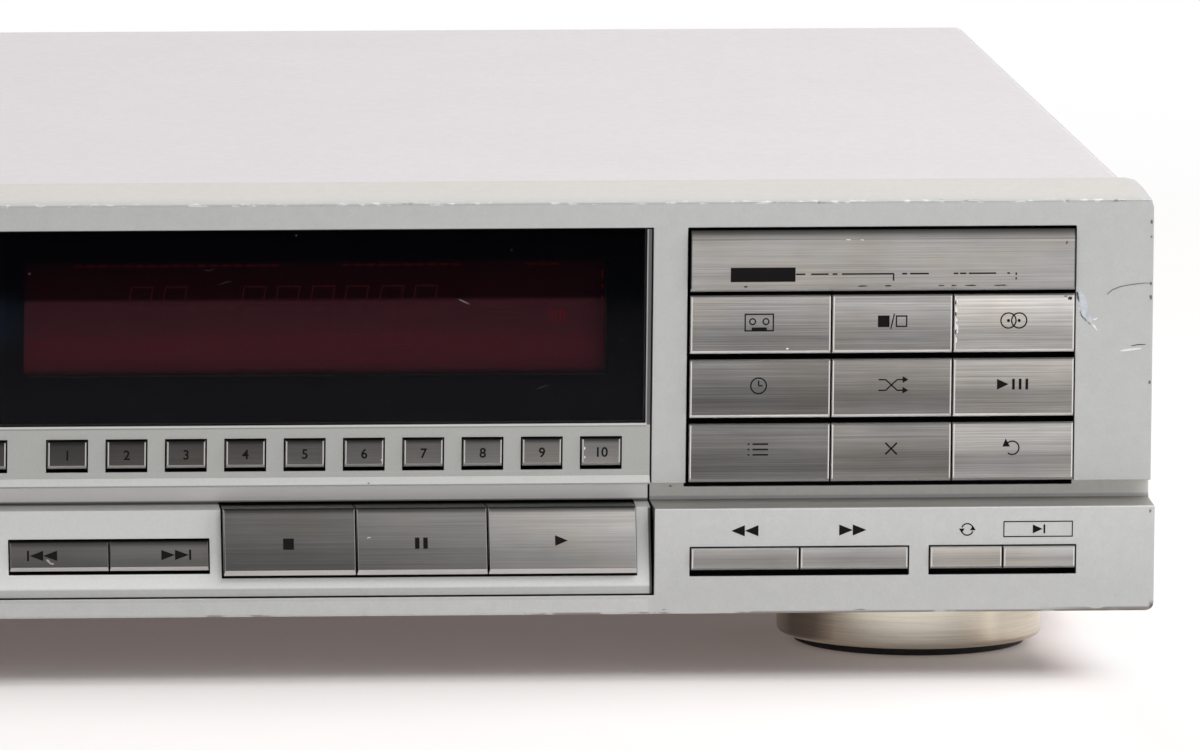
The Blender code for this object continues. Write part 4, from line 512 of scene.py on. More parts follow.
def key_looks():
    dark, light = NUMBER_TONES
    tones = {f"number_key_{i + 1}": dark + (light - dark) * (i / 9) ** NUMBER_BEND for i in range(10)}
    tones.update({"number_key_over_10": 62, "open_close_key": 62, "power_button": 62})
    for node, tone in tones.items():
        brushed(node, tone, NUMBER_PROFILE, (196, 205, 20), 0.08, 0.0007)
    for keys, profile in PAD_ROWS:
        for node, tone in keys:
            brushed(node, tone, profile, (222, 236, 190), 0.2)
    for node, tone, sheen_lean in TRANSPORT_KEYS:
        brushed(node, tone, TRANSPORT_PROFILE, (198, 176, 30), 0.15, 0.0009, 0.3, 0.00026, sheen_lean)
    for node, tone in (("skip_back_key", 78), ("skip_forward_key", 88)):
        brushed(node, tone, SKIP_PROFILE, (190, 150, 20), 0.08, 0.0008, 0.3, 0.0002)
    for node, tone in SLOT_KEYS:
        brushed(node, tone, SLOT_PROFILE, (222, 226, 196), 0.1, 0.0003)
    brushed("keypad_plate", 160, PLATE_PROFILE, (150, 14, 40), 0.14, side_rim=0.00022, name="plate")


def window_look():
    """Smoked window, half clear, with a painted reflection that makes its lower half lighter."""
    look = Look("smoked_window", 0.06, 0.0, 0.015)
    # Painted reflection: lighter in the lower half
    stops = (
        (0.0, rgb(34, 33, 36)), (0.5, rgb(24, 24, 28)), (0.62, rgb(14, 15, 19)), (0.66, rgb(5, 6, 10)),
        (1.0, rgb(3, 3, 6)),
    )
    tones = look.ramp(look.rise(42.0, 85.9, 0.0, 1.0, "LINEAR"), stops)
    cool = look.span(look.x, -0.032, -0.050), look.rows(60.0, 70.0, 3.5)
    tones = look.over(tones, rgb(34, 50, 66), *cool, 0.5)
    look.colour(look.varied(tones, 0.05, 200.0, detail=3.0))
    look.rough(look.noise(70.0, detail=4.0), 0.3, 0.8, 0.03, 0.12)
    look.shader.inputs["Alpha"].default_value = 0.4
    return look


# The part of the display tube that shows behind the window: x0, x1, z0 and z1 in millimetres
TUBE_VIEW = (-37.4, 92.8, 52.3, 78.6)


def tube_look():
    """The unlit display's reds, in black surrounds, with a painted reflection that lightens the lower part."""
    look = Look("tube", 0.4, 0.0, 0.01)
    # Painted reflection: the reds are lighter below about two thirds of the height
    stops = (
        (0.0, rgb(60, 16, 20)), (0.06, rgb(148, 56, 70)), (0.3, rgb(152, 58, 72)), (0.38, rgb(134, 62, 72)),
        (0.62, rgb(130, 66, 76)), (0.66, rgb(58, 10, 18)), (0.94, rgb(60, 12, 20)), (1.0, rgb(44, 10, 14)),
    )
    red = look.ramp(look.rise(52.5, 78.5, 0.0, 1.0, "LINEAR"), stops)
    red = look.varied(red, 0.12, 1.0, (40, 40, 1500), 3.0)
    red = look.varied(red, 0.12, 500.0, detail=3.0, shift=3.0)
    look.colour(look.mix(look.patch(*TUBE_VIEW, 0.1), rgb(12, 10, 12), red))
    return look


def board_look(name, top, share=1.0):
    """Lacquered circuit board with tracks, and the tones of what stands on it."""
    look = Look(name, 0.35)
    tracks = {
        "Vector": look.place, "Scale": 160.0, "Mortar Size": 0.03,
        "Color1": rgb(48, 92, 44), "Color2": rgb(42, 84, 40), "Mortar": rgb(86, 132, 70),
    }
    colour = look.varied(look.node("TexBrick", tracks).outputs[0], 0.15, 120.0, detail=4.0)
    stops = ((0.0, rgb(20, 20, 24)), (0.52, rgb(28, 40, 74)), (0.6, rgb(120, 122, 124)))
    parts = look.ramp(look.noise(26.0, detail=0.0, shift=2.0), stops)
    look.colour(look.scale(look.over(colour, parts, look.span(look.z, top, top + 0.0006)), share))
    return look


def core_look():
    """Laminated iron with a taped coil in its middle."""
    look = Look("laminations", 0.45, 0.5)
    lines = look.calc("SINE", look.times(look.z, 5200.0))
    iron = look.grain(rgb(92, 86, 80), 0.3, look.calc("ADD", look.times(lines, 0.25), 0.5))
    lo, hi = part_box("power_transformer")
    half = (hi[0] - lo[0]) / 2
    away = look.calc("ABSOLUTE", look.calc("SUBTRACT", look.x, (lo[0] + hi[0]) / 2))
    wound = look.band(away, -half, half * 0.5, 0.0003), look.span(look.z, lo[2] + 0.008, lo[2] + 0.009)
    look.colour(look.over(iron, look.varied(rgb(160, 136, 84), 0.12, 1.0, (20, 20, 900)), *wound))
    return look


def foot_look():
    """Champagne metal with the fine lines of its turning, and the sheen of the light around it."""
    look = Look("champagne", 0.27, 0.9)
    around = look.span(look.nx, -1.0, 1.0, kind="LINEAR")
    sheen = (
        (0.0, 0.98), (0.03, 0.72), (0.10, 0.84), (0.17, 1.2), (0.25, 1.18), (0.45, 1.12), (0.7, 1.04), (0.75, 1.1),
        (0.8, 1.0), (0.95, 1.02),
    )
    stops = [(place, rgb(*(min(value * share, 255) for value in (203, 192, 176)))) for place, share in sheen]
    tone = look.ramp(around, stops)
    middle = look.span(around, 0.12, 0.3), look.span(around, 0.74, 0.55)
    tone = look.over(tone, look.toned(tone, (1.06, 1.14, 1.20)), *middle)
    colour = look.varied(tone, 0.07, 1.0, (25, 25, 1900), 3.0)
    look.colour(look.varied(colour, 0.10, 1.0, (60, 60, 5200), 2.0, 4.0))
    look.bump(look.noise(1.0, (20, 20, 2600), 2.0, 2.0), 0.2)
    return look


def ink(name, tint, roughness=0.5, level=0.08):
    """The tone of a print, a mark or a scratch."""
    look = Look(name, roughness, 0.0, level)
    look.colour(look.varied(tint, 0.12, 1200.0, detail=3.0))
    return look


def soften(node, width):
    """Rounds a solid's edges."""
    obj = NODES[node]
    obj.modifiers.new("weld", "WELD").merge_threshold = SAME
    flat = obj.modifiers.new("flat", "DECIMATE")
    flat.decimate_type = "DISSOLVE"
    flat.angle_limit = math.radians(1)
    round_off = obj.modifiers.new("round", "BEVEL")
    round_off.width, round_off.segments = width, 2
    round_off.limit_method = "ANGLE"
    round_off.angle_limit = math.radians(35)
    round_off.harden_normals = False


DARK_PLASTICS = (
    ((34, 33, 34), ("headphone_jack", "turntable", "pickup_sled", "disc_clamper", "output_sockets", "mains_inlet")),
    ((52, 51, 52), ("disc_tray", "loader_frame")),
)
STEELS = {"chassis_base": 188, "rear_panel": 120, "clamp_bridge": 186, "optical_deck": 190, "loading_motor": 176}
# Widths of rounded edges, in metres
SOFTENED = (
    (0.00022, ("fascia", "centre_panel")),
    (0.0003, ("tray_front", "display_window")),
    (0.0002, ("optical_deck", "disc_tray", "loader_frame")),
)
MAIN_BOARD_TOP = LIFT + 0.0099


def dress_solids():
    wear("fascia", fascia_look())
    wear("centre_panel", panel_look())
    wear("tray_front", plain_paint("tray_paint", rgb(176, 178, 174)))
    wear("top_cover", plain_paint("cover_paint", rgb(206, 201, 203), rgb(166, 162, 164)))
    key_looks()
    wear("display_window", window_look())
    wear("display_tube", tube_look())
    for tint, nodes in DARK_PLASTICS:
        for node in nodes:
            wear(node, plastic(node + "_plastic", rgb(*tint)))
    for node in ("loading_gear", "motor_pinion"):
        wear(node, plastic(node + "_plastic", rgb(222, 219, 208), 0.4, 0.03, 500.0))
    for node, tone in STEELS.items():
        wear(node, plated(node + "_steel", grey(tone)))
    # Painted shade: the front board is darkened to near black, as it lies in the dark behind the front
    wear("front_board", board_look("front_board_green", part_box("front_board")[1][2], 0.08))
    wear("main_board", board_look("main_board_green", MAIN_BOARD_TOP))
    wear("power_transformer", core_look())
    for width, nodes in SOFTENED:
        for node in nodes:
            soften(node, width)


# Pieces


def ring(bm, radius, height, sides=ROUND, centre=(0, 0)):
    turns = [2 * math.pi * i / sides for i in range(sides)]
    spots = [(centre[0] + radius * math.cos(a), centre[1] + radius * math.sin(a), height) for a in turns]
    return [bm.verts.new(spot) for spot in spots]


def bridge(bm, near, far):
    """Joins two loops, of which one may be a single point."""
    sides = max(len(near), len(far))
    for i in range(sides):
        j = (i + 1) % sides
        corners = [near[i % len(near)], near[j % len(near)], far[j % len(far)], far[i % len(far)]]
        bm.faces.new(list(dict.fromkeys(corners)))


def lathe(profile, centre=(0, 0), sides=ROUND, closed=False):
    """Turns a radius-and-height profile about an upright axis; it starts and ends on the axis, or is closed."""
    bm = bmesh.new()
    rings = [
        ring(bm, radius, z, sides, centre) if radius else [bm.verts.new((*centre, z))] for radius, z in profile
    ]
    for near, far in zip(rings, rings[1:] + (rings[:1] if closed else [])):
        bridge(bm, near, far)
    return bm


def make_piece(name, bm, look):
    mesh = bpy.data.meshes.new(name)
    bm.to_mesh(mesh)
    bm.free()
    mesh.materials.append(look.material)
    return add_object(name, mesh)


def make_floor():
    """A round sheet of pale paper, plain white to the camera but for the shadow near the player, which painted light
    lifts by the player's right end.
    """
    bm = bmesh.new()
    rings = [ring(bm, radius, 0) for radius in FLOOR_RINGS]
    bm.faces.new(rings[0])
    for near, far in zip(rings, rings[1:]):
        bridge(bm, far, near)
    look = Look("floor_paper", 0.9, 0.0, 0.1)
    look.colour(look.varied(rgb(252, 249, 248), 0.012, 14.0, detail=5.0))
    away = look.node("VectorMath", {0: look.place}, operation="LENGTH").outputs["Value"]
    # Painted light: by the player's right end the floor turns plain white to the camera, lifting the shadow there
    right = look.times(look.span(look.x, 0.186, 0.214), look.span(look.y, -0.02, -0.10))
    lit = look.calc("MAXIMUM", look.span(away, 0.34, 0.95, FLOOR_LIFT, 1.0), look.times(right, 0.95))
    share = look.times(lit, seen_plainly(look.nodes, look.links))
    plain = look.calc("MAXIMUM", look.span(away, 0.27, 0.38), right)
    warm = look.mix(plain, rgb(255, 234, 228), (1.0, 1.0, 1.0, 1.0))
    white = look.node("Emission", {"Color": warm, "Strength": 1.0})
    blend = look.node("MixShader", {0: share, 1: look.shader.outputs[0], 2: white.outputs[0]})
    look.links.new(blend.outputs[0], look.nodes["Material Output"].inputs[0])
    floor = make_piece("floor", bm, look)


def place_piece(name, bm, look, body, slot, smooth=False):
    """Makes a mesh piece and rides it on its body; its slot is not used."""
    bmesh.ops.recalc_face_normals(bm, faces=bm.faces)
    piece = make_piece(name, bm, look)
    for face in piece.data.polygons:
        face.use_smooth = smooth
    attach(piece, body)
    return piece


def front_of(node):
    """Reads how far out a node's front stands at an x and z."""
    mesh = NODES[node].data
    tree = BVHTree.FromPolygons([v.co for v in mesh.vertices], [list(p.vertices) for p in mesh.polygons])

    def read(x, z):
        hit = tree.ray_cast(Vector((x, -1, z)), Vector((0, 1, 0)))[0]
        return None if hit is None else hit.y

    return read


PRINT_THICK = 0.00004


def stick(name, node, outlines, look, slot="black_plastic", drawn=None):
    """Lays thin shapes, given in millimetres of the front, on a node's front. On a key they move with it."""
    bm = drawn or bmesh.new()
    for outline in outlines:
        bm.faces.new([bm.verts.new((x * MM, 0, z * MM)) for x, z in outline])
    read = front_of(node)
    depth = {}
    for vert in bm.verts:
        vert.co.z += LIFT
        depth[vert] = read(vert.co.x, vert.co.z)
    known = [value for value in depth.values() if value is not None]
    for vert in bm.verts:
        vert.co.y = (depth[vert] if depth[vert] is not None else sum(known) / len(known)) + PRINT_THICK
    made = bmesh.ops.extrude_face_region(bm, geom=bm.faces[:])
    for vert in made["geom"]:
        if isinstance(vert, bmesh.types.BMVert):
            vert.co.y -= 2 * PRINT_THICK
    place_piece(name, bm, look, node if "_key" in node else "chassis", slot)


def bar(x0, x1, z0, z1):
    return [(x0, z0), (x1, z0), (x1, z1), (x0, z1)]


def bars(z0, z1, *spans):
    return [bar(x0, x1, z0, z1) for x0, x1 in spans]


def arrows(z, half, *spans):
    """Triangles, each from its base to its tip, with the tip given first."""
    return [[(base, z - half), (tip, z), (base, z + half)] for tip, base in spans]


def arc(x, z, radius, width, start=0, end=360, steps=28):
    """A ring, or a part of one, as quads."""
    shapes = []
    for i in range(steps):
        a, b = (math.radians(start + (end - start) * step / steps) for step in (i, i + 1))
        near, far = radius - width / 2, radius + width / 2
        points = ((a, near), (b, near), (b, far), (a, far))
        shapes.append([(x + r * math.cos(t), z + r * math.sin(t)) for t, r in points])
    return shapes


def disc(x, z, radius, steps=20):
    turns = [2 * math.pi * i / steps for i in range(steps)]
    return [(x + radius * math.cos(a), z + radius * math.sin(a)) for a in turns]


def line(points, width):
    """Straight strokes between points."""
    shapes = []
    for (x0, z0), (x1, z1) in zip(points, points[1:]):
        away = math.hypot(x1 - x0, z1 - z0)
        sx, sz = -(z1 - z0) / away * width / 2, (x1 - x0) / away * width / 2
        shapes.append([(x0 - sx, z0 - sz), (x1 - sx, z1 - sz), (x1 + sx, z1 + sz), (x0 + sx, z0 + sz)])
    return shapes


def frame_of(x0, x1, z0, z1, width):
    return [
        bar(x0, x1, z0, z0 + width), bar(x0, x1, z1 - width, z1),
        bar(x0, x0 + width, z0 + width, z1 - width), bar(x1 - width, x1, z0 + width, z1 - width),
    ]


# A figure's height as a share of the type's size, and how much its strokes are widened, in metres
CAPITAL = 0.73
BOLDER = 0.00005


def figures(text, x, z, height):
    """A number as a flat mesh, in metres, centred on a point of the front."""
    curve = bpy.data.curves.new("figures", "FONT")
    curve.body = text
    curve.align_x, curve.align_y = "CENTER", "CENTER"
    curve.size = height / CAPITAL * MM
    curve.offset = BOLDER
    drawing = add_object("figures", curve)
    mesh = bpy.data.meshes.new_from_object(drawing.evaluated_get(bpy.context.evaluated_depsgraph_get()))
    bpy.data.objects.remove(drawing)
    bm = bmesh.new()
    bm.from_mesh(mesh)
    bmesh.ops.remove_doubles(bm, verts=bm.verts, dist=SAME)
    bpy.data.meshes.remove(mesh)
    for vert in bm.verts:
        vert.co = Vector((vert.co.x + x * MM, 0, vert.co.y + z * MM))
    return bm


# Number keys: the first figure's x, the step to the next, its z and its height, in millimetres
FIGURES = (-27.84, 13.255, 35.4, 2.2)

# Signs on the keys, in millimetres
KEY_SIGNS = {
    "number_key_over_10": [bar(-47.1, -44.6, 35.5, 35.8), bar(-46.0, -45.7, 34.4, 36.9)],
    "stop_key": [bar(19.85, 22.25, 15.0, 17.4)],
    "pause_key": bars(15.0, 17.4, (49.3, 50.3), (51.15, 52.15)),
    "play_key": arrows(16.55, 1.15, (83.45, 80.65)),
    "skip_back_key": [bar(-37.1, -36.65, 12.65, 14.85), *arrows(13.75, 1.1, (-36.5, -33.5), (-33.5, -30.4))],
    "skip_forward_key": [*arrows(13.75, 1.1, (-4.1, -7.15), (-1.05, -4.1)), bar(-0.95, -0.5, 12.65, 14.85)],
    "tape_length_key": [
        *frame_of(123.2, 129.8, 62.4, 66.4, 0.3), *arc(125.0, 64.6, 0.65, 0.3), *arc(128.0, 64.6, 0.65, 0.3),
        bar(124.8, 128.2, 62.7, 63.3),
    ],
    "tape_side_key": [
        bar(153.1, 155.7, 63.2, 65.8), *frame_of(157.1, 159.7, 63.2, 65.8, 0.3),
        *line([(156.0, 62.8), (156.8, 66.2)], 0.28),
    ],
    "disc_link_key": [
        *arc(182.4, 64.5, 1.7, 0.3), *arc(184.8, 64.5, 1.7, 0.3), disc(182.4, 64.5, 0.35), disc(184.8, 64.5, 0.35),
    ],
    "time_mode_key": [
        *arc(126.5, 50.2, 1.75, 0.3), *line([(126.5, 50.2), (126.5, 51.4)], 0.3),
        *line([(126.5, 50.2), (127.4, 50.2)], 0.3),
    ],
    "random_key": [
        *line([(153.4, 51.4), (155.0, 51.4), (157.6, 49.0), (158.9, 49.0)], 0.3),
        *line([(153.4, 49.0), (155.0, 49.0), (157.6, 51.4), (158.9, 51.4)], 0.3),
        *arrows(51.4, 0.75, (160.1, 158.8)), *arrows(49.0, 0.75, (160.1, 158.8)),
    ],
    "music_scan_key": [
        *arrows(50.2, 1.2, (182.6, 180.0)), *bars(49.0, 51.4, (183.4, 184.0), (184.9, 185.5), (186.4, 187.0)),
    ],
    "program_key": [
        shape for z in (34.7, 35.9, 37.1) for shape in bars(z - 0.17, z + 0.17, (124.2, 124.6), (125.3, 128.8))
    ],
    "clear_key": [*line([(155.1, 34.6), (157.7, 37.2)], 0.36), *line([(155.1, 37.2), (157.7, 34.6)], 0.36)],
    "recall_key": [*arc(183.6, 35.9, 1.5, 0.3, -130, 150), [(181.4, 36.2), (183.1, 36.2), (182.1, 38.0)]],
}
FASCIA_SIGNS = {
    "search_signs": arrows(18.55, 1.25, (119.95, 123.0), (123.0, 126.05), (147.2, 144.15), (150.25, 147.2)),
    "repeat_sign": [
        *arc(172.9, 18.5, 1.3, 0.28, 20, 160), *arc(172.9, 18.5, 1.3, 0.28, 200, 340),
        [(171.0, 18.7), (172.3, 18.7), (171.65, 17.7)], [(173.5, 18.3), (174.8, 18.3), (174.15, 19.3)],
    ],
    "auto_cue_sign": [
        *frame_of(181.0, 196.6, 16.7, 20.3, 0.24), *arrows(18.5, 1.0, (189.8, 187.6)), bar(190.0, 190.4, 17.5, 19.5),
    ],
}
PLATE_PRINT = [
    bar(120.0, 134.5, 73.5, 76.7), bar(156.35, 156.67, 73.6, 75.0), bar(183.85, 184.17, 74.7, 75.3),
    bar(183.85, 184.17, 73.7, 74.2),
    *bars(
        75.0, 75.32, (134.6, 136.7), (138.0, 141.9), (142.8, 143.9), (144.9, 156.6), (158.4, 159.5), (160.2, 164.4),
        (170.0, 171.0), (171.4, 172.8), (173.4, 179.5), (182.0, 182.6),
    ),
]


def signs():
    """Plain numbers and the usual transport signs, in the places of the lettering."""
    black = ink("print_black", rgb(20, 18, 18), 0.7)
    start, step, z, height = FIGURES
    for i in range(10):
        drawn = figures(str(i + 1), start + step * i, z, height)
        stick(f"number_sign_{i + 1}", f"number_key_{i + 1}", (), black, drawn=drawn)
    for key, shapes in KEY_SIGNS.items():
        name = "number_sign_over_10" if key == "number_key_over_10" else key + "_sign"
        stick(name, key, shapes, black)
    for name, shapes in FASCIA_SIGNS.items():
        stick(name, "fascia", shapes, black)
    stick("plate_print", "keypad_plate", PLATE_PRINT, black)


BLOB_POINTS = 13


def blob(x, z, wide, high, seed, turn=0.0):
    """An irregular outline in millimetres."""
    draw = random.Random(seed)
    points = []
    for i in range(BLOB_POINTS):
        angle = 2 * math.pi * i / BLOB_POINTS
        reach = draw.uniform(0.5, 1.0)
        a, b = wide / 2 * reach * math.cos(angle), high / 2 * reach * math.sin(angle)
        points.append((x + a * math.cos(turn) - b * math.sin(turn), z + a * math.sin(turn) + b * math.cos(turn)))
    return points


def blobs(seed, *rows):
    """Irregular outlines with one seed after another; a row is x, z, width, height and maybe a turn."""
    return [blob(*row[:4], seed + i, *row[4:]) for i, row in enumerate(rows)]


def scratch(points, widths, seed):
    """A thin uneven stroke along points, tapering as given."""
    draw = random.Random(seed)
    near, far = [], []
    for i, ((x, z), width) in enumerate(zip(points, widths)):
        x0, z0 = points[max(i - 1, 0)]
        x1, z1 = points[min(i + 1, len(points) - 1)]
        away = math.hypot(x1 - x0, z1 - z0)
        sx, sz = -(z1 - z0) / away, (x1 - x0) / away
        half = width / 2 * draw.uniform(0.7, 1.0)
        near.append((x - sx * half, z - sz * half))
        far.append((x + sx * half, z + sz * half))
    return near + far[::-1]


SCRATCH_RIGHT = (
    (204.6, 70.1), (205.8, 71.1), (207.5, 71.8), (209.3, 72.15), (211.2, 72.4), (213.1, 72.6), (214.4, 72.55),
)
EDGE_CHIPS = ((86.4, 1.2), (83.0, 0.7), (72.5, 0.9), (69.4, 1.3), (50.2, 1.1))
FLAKES = ((68.9, 0.6, 1.1), (67.0, 0.5, 1.5), (64.7, 0.6, 1.1), (62.7, 1.0, 2.6), (60.2, 0.5, 1.4))
PLATE_SPECKS = ((123.4, 1.2), (149.6, 3.0), (155.4, 2.2), (167.2, 1.8), (170.0, 1.6), (174.0, 3.4), (180.6, 4.0))


def marks():
    """Scratches and chips in the paint and on the keys, and a painted shade beside the flakes on the disc link key.
    """
    dark = ink("worn_dark", rgb(118, 115, 111))
    deep = ink("worn_deep_and_shade", rgb(62, 56, 52))
    pale = ink("worn_pale", rgb(236, 237, 240))
    blue = ink("rubbed", rgb(203, 208, 215))
    tin = ink("worn_tin", rgb(170, 165, 160))
    light = ink("worn_light", rgb(196, 194, 192))
    for name, node, shapes, look, *slot in (
        ("scratch_right", "fascia", [scratch(SCRATCH_RIGHT, (0.2, 0.28, 0.26, 0.2, 0.24, 0.2, 0.15), 3)], dark),
        ("rubbed_patch", "fascia", [blob(199.2, 67.4, 2.6, 7.4, 5, 0.2), blob(200.6, 64.4, 2.2, 2.6, 8)], blue),
        ("white_marks", "fascia", [
            scratch([(198.3, 67.2), (199.0, 65.2), (200.3, 63.9), (201.5, 63.2)], (0.14, 0.24, 0.34, 0.3), 6),
            scratch([(200.4, 63.9), (201.8, 63.0), (202.5, 62.0)], (0.5, 0.62, 0.3), 9),
            blob(202.0, 64.6, 1.5, 0.6, 12, 0.3),
            scratch([(207.8, 57.4), (209.6, 57.6), (212.4, 57.9)], (0.3, 0.6, 0.3), 14),
        ], pale),
        ("dark_marks", "fascia", [
            scratch([(210.2, 58.5), (211.6, 58.75), (213.4, 58.8)], (0.14, 0.3, 0.16), 15),
            blob(198.0, 69.6, 0.9, 3.2, 17, 0.3), blob(107.5, 27.2, 0.9, 0.4, 19),
        ], deep),
        ("edge_chips", "fascia", blobs(30, *((214.45, z, 0.7, high) for z, high in EDGE_CHIPS)), dark),
        ("low_chips", "fascia", blobs(
            44, (213.9, 22.4, 0.8, 0.9), (105.0, 1.0, 1.6, 0.25), (149.0, 0.7, 3.0, 0.25),
        ), dark),
        ("flakes", "disc_link_key", blobs(50, *((170.75, *flake) for flake in FLAKES)), pale, "key_metal"),
        # Painted shade beside the flakes
        ("flake_shade", "disc_link_key", blobs(60, *((170.55, z, 0.4, 1.4) for z in (68.6, 66.0, 62.0))), deep),
        ("key_corner_chip", "disc_link_key", [
            blob(196.2, 69.4, 1.3, 1.0, 65), blob(195.2, 69.9, 0.9, 0.35, 165),
        ], deep),
        ("tape_key_chip", "tape_length_key", blobs(66, (132.9, 58.5, 0.8, 0.5)), pale, "key_metal"),
        ("number_10_chip", "number_key_10", blobs(
            67, (87.75, 36.3, 0.35, 1.0), (87.8, 34.4, 0.3, 0.7),
        ), pale, "dark_key_metal"),
        ("number_6_chip", "number_key_6", blobs(69, (42.35, 34.1, 0.35, 0.35)), pale, "dark_key_metal"),
        ("skip_chip", "skip_back_key", blobs(
            70, (-32.3, 12.5, 1.7, 0.7, -0.8), (-31.6, 12.0, 1.4, 0.5),
        ), tin, "dark_key_metal"),
        ("pause_scratch", "pause_key", [
            scratch([(38.6, 17.3), (39.0, 17.5), (39.5, 17.5)], (0.15, 0.25, 0.1), 72),
        ], light, "key_metal"),
        ("plate_wear", "keypad_plate", [
            *blobs(80, *((x, 72.45, wide, 0.4) for x, wide in PLATE_SPECKS)), blob(195.3, 81.9, 0.45, 1.0, 90, -0.3),
        ], deep),
        ("plate_scratch", "keypad_plate", blobs(
            91, (146.4, 82.85, 1.6, 0.22), (149.4, 82.8, 1.0, 0.2),
        ), pale, "key_metal"),
        ("strip_nick", "centre_panel", blobs(93, (39.4, 28.9, 0.7, 0.35)), deep),
    ):
        stick(name, node, shapes, look, *slot)


# Behind the window: the opening of its printed mask, in millimetres of the front, and the depths
# of the mask's front and back in metres
MASK_VIEW = (-37.4, 92.8, 52.5, 78.3)
MASK_DEPTH = (0.00255, 0.00268)


def window_mask():
    """A thin black frame behind the window, around the display."""
    lo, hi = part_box("display_window")
    x0, x1, z0, z1 = (value * MM for value in MASK_VIEW)
    outer = ((lo[0], lo[2]), (hi[0], lo[2]), (hi[0], hi[2]), (lo[0], hi[2]))
    inner = ((x0, z0 + LIFT), (x1, z0 + LIFT), (x1, z1 + LIFT), (x0, z1 + LIFT))
    bm = bmesh.new()
    front, back = MASK_DEPTH
    loops = [
        [bm.verts.new((x, FRONT_Y + depth, z)) for x, z in loop]
        for loop, depth in ((outer, front), (inner, front), (inner, back), (outer, back))
    ]
    for near, far in zip(loops, loops[1:] + loops[:1]):
        bridge(bm, near, far)
    place_piece("window_mask", bm, ink("mask_black", rgb(6, 6, 7), 1.0, 0.0), "chassis", "black_plastic")


DASH, DASH_STEP = 1.9, 2.75


def tube_marks():
    """The display's unlit marks, as good as invisible: generic dashes, digits and boxes."""
    dashes = []
    for start, end in ((-26.0, 19.5), (33.8, 60.6), (75.0, 83.0)):
        x = start
        while x < end:
            dashes.append(bar(x, x + DASH, 76.7, 77.2))
            x += DASH_STEP
    cells = []
    for x in (-14.6, -7.0, 10.6, 18.2, 26.0, 33.6, 41.4, 49.0):
        slant = [(x, 63.8), (x + 4.8, 63.8), (x + 6.3, 72.2), (x + 1.5, 72.2)]
        cells += line(slant + slant[:1], 0.25) + line([(x + 0.75, 68.0), (x + 5.55, 68.0)], 0.25)
    for place in ((-27.4, -18.4, 63.3, 66.2), (55.6, 63.0, 63.6, 67.0), (64.4, 72.0, 63.8, 66.8)):
        cells += frame_of(*place, 0.22)
    for i in range(8):
        cells += line([(-26.0 + 0.9 * i, 64.0), (-26.0 + 0.9 * i, 65.4)], 0.2)
    rows = ((73.6, 2.0), (71.4, 0.8), (68.4, 1.2), (64.8, 1.8), (60.6, 1.2))
    ends = [bar(92.0, 92.35, z, z + high) for z, high in rows]
    for x in (80.6, 82.6):
        ends += frame_of(x, x + 1.2, 64.0, 66.6, 0.3)
    for name, shapes, tone, tint in (
        ("tube_dashes", dashes, "tube_dim", rgb(124, 22, 32)),
        ("tube_cells", cells, "tube_faint", rgb(122, 52, 62)),
        ("tube_bright", ends, "tube_red", rgb(196, 44, 50)),
    ):
        stick(name, "display_tube", shapes, ink(tone, tint, 0.6, 0.02), "tube_glass")


def window_marks():
    """Dust and fine scratches on the window."""
    specks = blobs(
        201, (22.9, 84.4, 0.4, 0.35), (71.0, 80.9, 0.3, 0.3), (-36.5, 76.2, 0.35, 0.5), (-1.4, 58.4, 0.3, 0.25),
        (96.0, 60.5, 0.25, 0.2), (44.0, 47.0, 0.2, 0.25),
    )
    specks.append(scratch([(59.4, 69.9), (60.4, 69.4), (61.7, 68.8)], (0.12, 0.24, 0.1), 207))
    stick("window_dust", "display_window", specks, ink("dust", rgb(150, 140, 142), 0.9, 0.05))
    thin = [
        scratch([(77.0, 49.6), (78.2, 50.2), (79.6, 50.5)], (0.08, 0.16, 0.08), 208),
        scratch([(5.6, 73.4), (7.0, 74.0), (8.4, 74.2)], (0.06, 0.12, 0.06), 209),
        scratch([(2.2, 76.8), (3.6, 76.6), (4.8, 77.2)], (0.05, 0.12, 0.05), 210),
    ]
    stick("window_scratches", "display_window", thin, ink("dust_dim", rgb(84, 76, 80), 0.9, 0.05))


SCREW_SIDES = 32
# A pan head's outline: shares of its radius and of its height
SCREW_HEAD = ((1.0, 0.0), (1.0, 0.3), (0.88, 0.75), (0.6, 1.0))


def screw(name, place, turn, radius, look):
    """A pan-head screw with a cross in it; turn brings its upright axis to the way it faces."""
    bm = bmesh.new()
    high = radius * 0.55
    rings = [ring(bm, radius * share, high * up, SCREW_SIDES) for share, up in SCREW_HEAD]
    bm.faces.new(rings[0])
    for near, far in zip(rings, rings[1:]):
        bridge(bm, near, far)
    thin, long = radius * 0.11, radius * 0.42
    outline = []
    for x, y in ((1, 0), (0, 1), (-1, 0), (0, -1)):
        outline += [
            (x * long + y * thin, y * long - x * thin), (x * long - y * thin, y * long + x * thin),
            ((x - y) * thin, (x + y) * thin),
        ]
    top, low = ([bm.verts.new((x, y, height)) for x, y in outline] for height in (high, high * 0.45))
    edges = [bm.edges.new((a, b)) for a, b in zip(top, top[1:] + top[:1])]
    rim = [bm.edges.get((a, b)) for a, b in zip(rings[-1], rings[-1][1:] + rings[-1][:1])]
    bmesh.ops.triangle_fill(bm, use_beauty=True, use_dissolve=False, edges=edges + rim, normal=(0, 0, 1))
    bridge(bm, top, low)
    bm.faces.new(low)
    bm.transform(Matrix.Translation(place) @ turn)
    place_piece(name, bm, look, "chassis", "steel")


# Turns of an upright axis
TO_REAR = Matrix.Rotation(-math.pi / 2, 4, "X")
TO_FRONT = Matrix.Rotation(math.pi / 2, 4, "X")
TO_RIGHT = Matrix.Rotation(math.pi / 2, 4, "Y")
TO_LEFT = Matrix.Rotation(-math.pi / 2, 4, "Y")

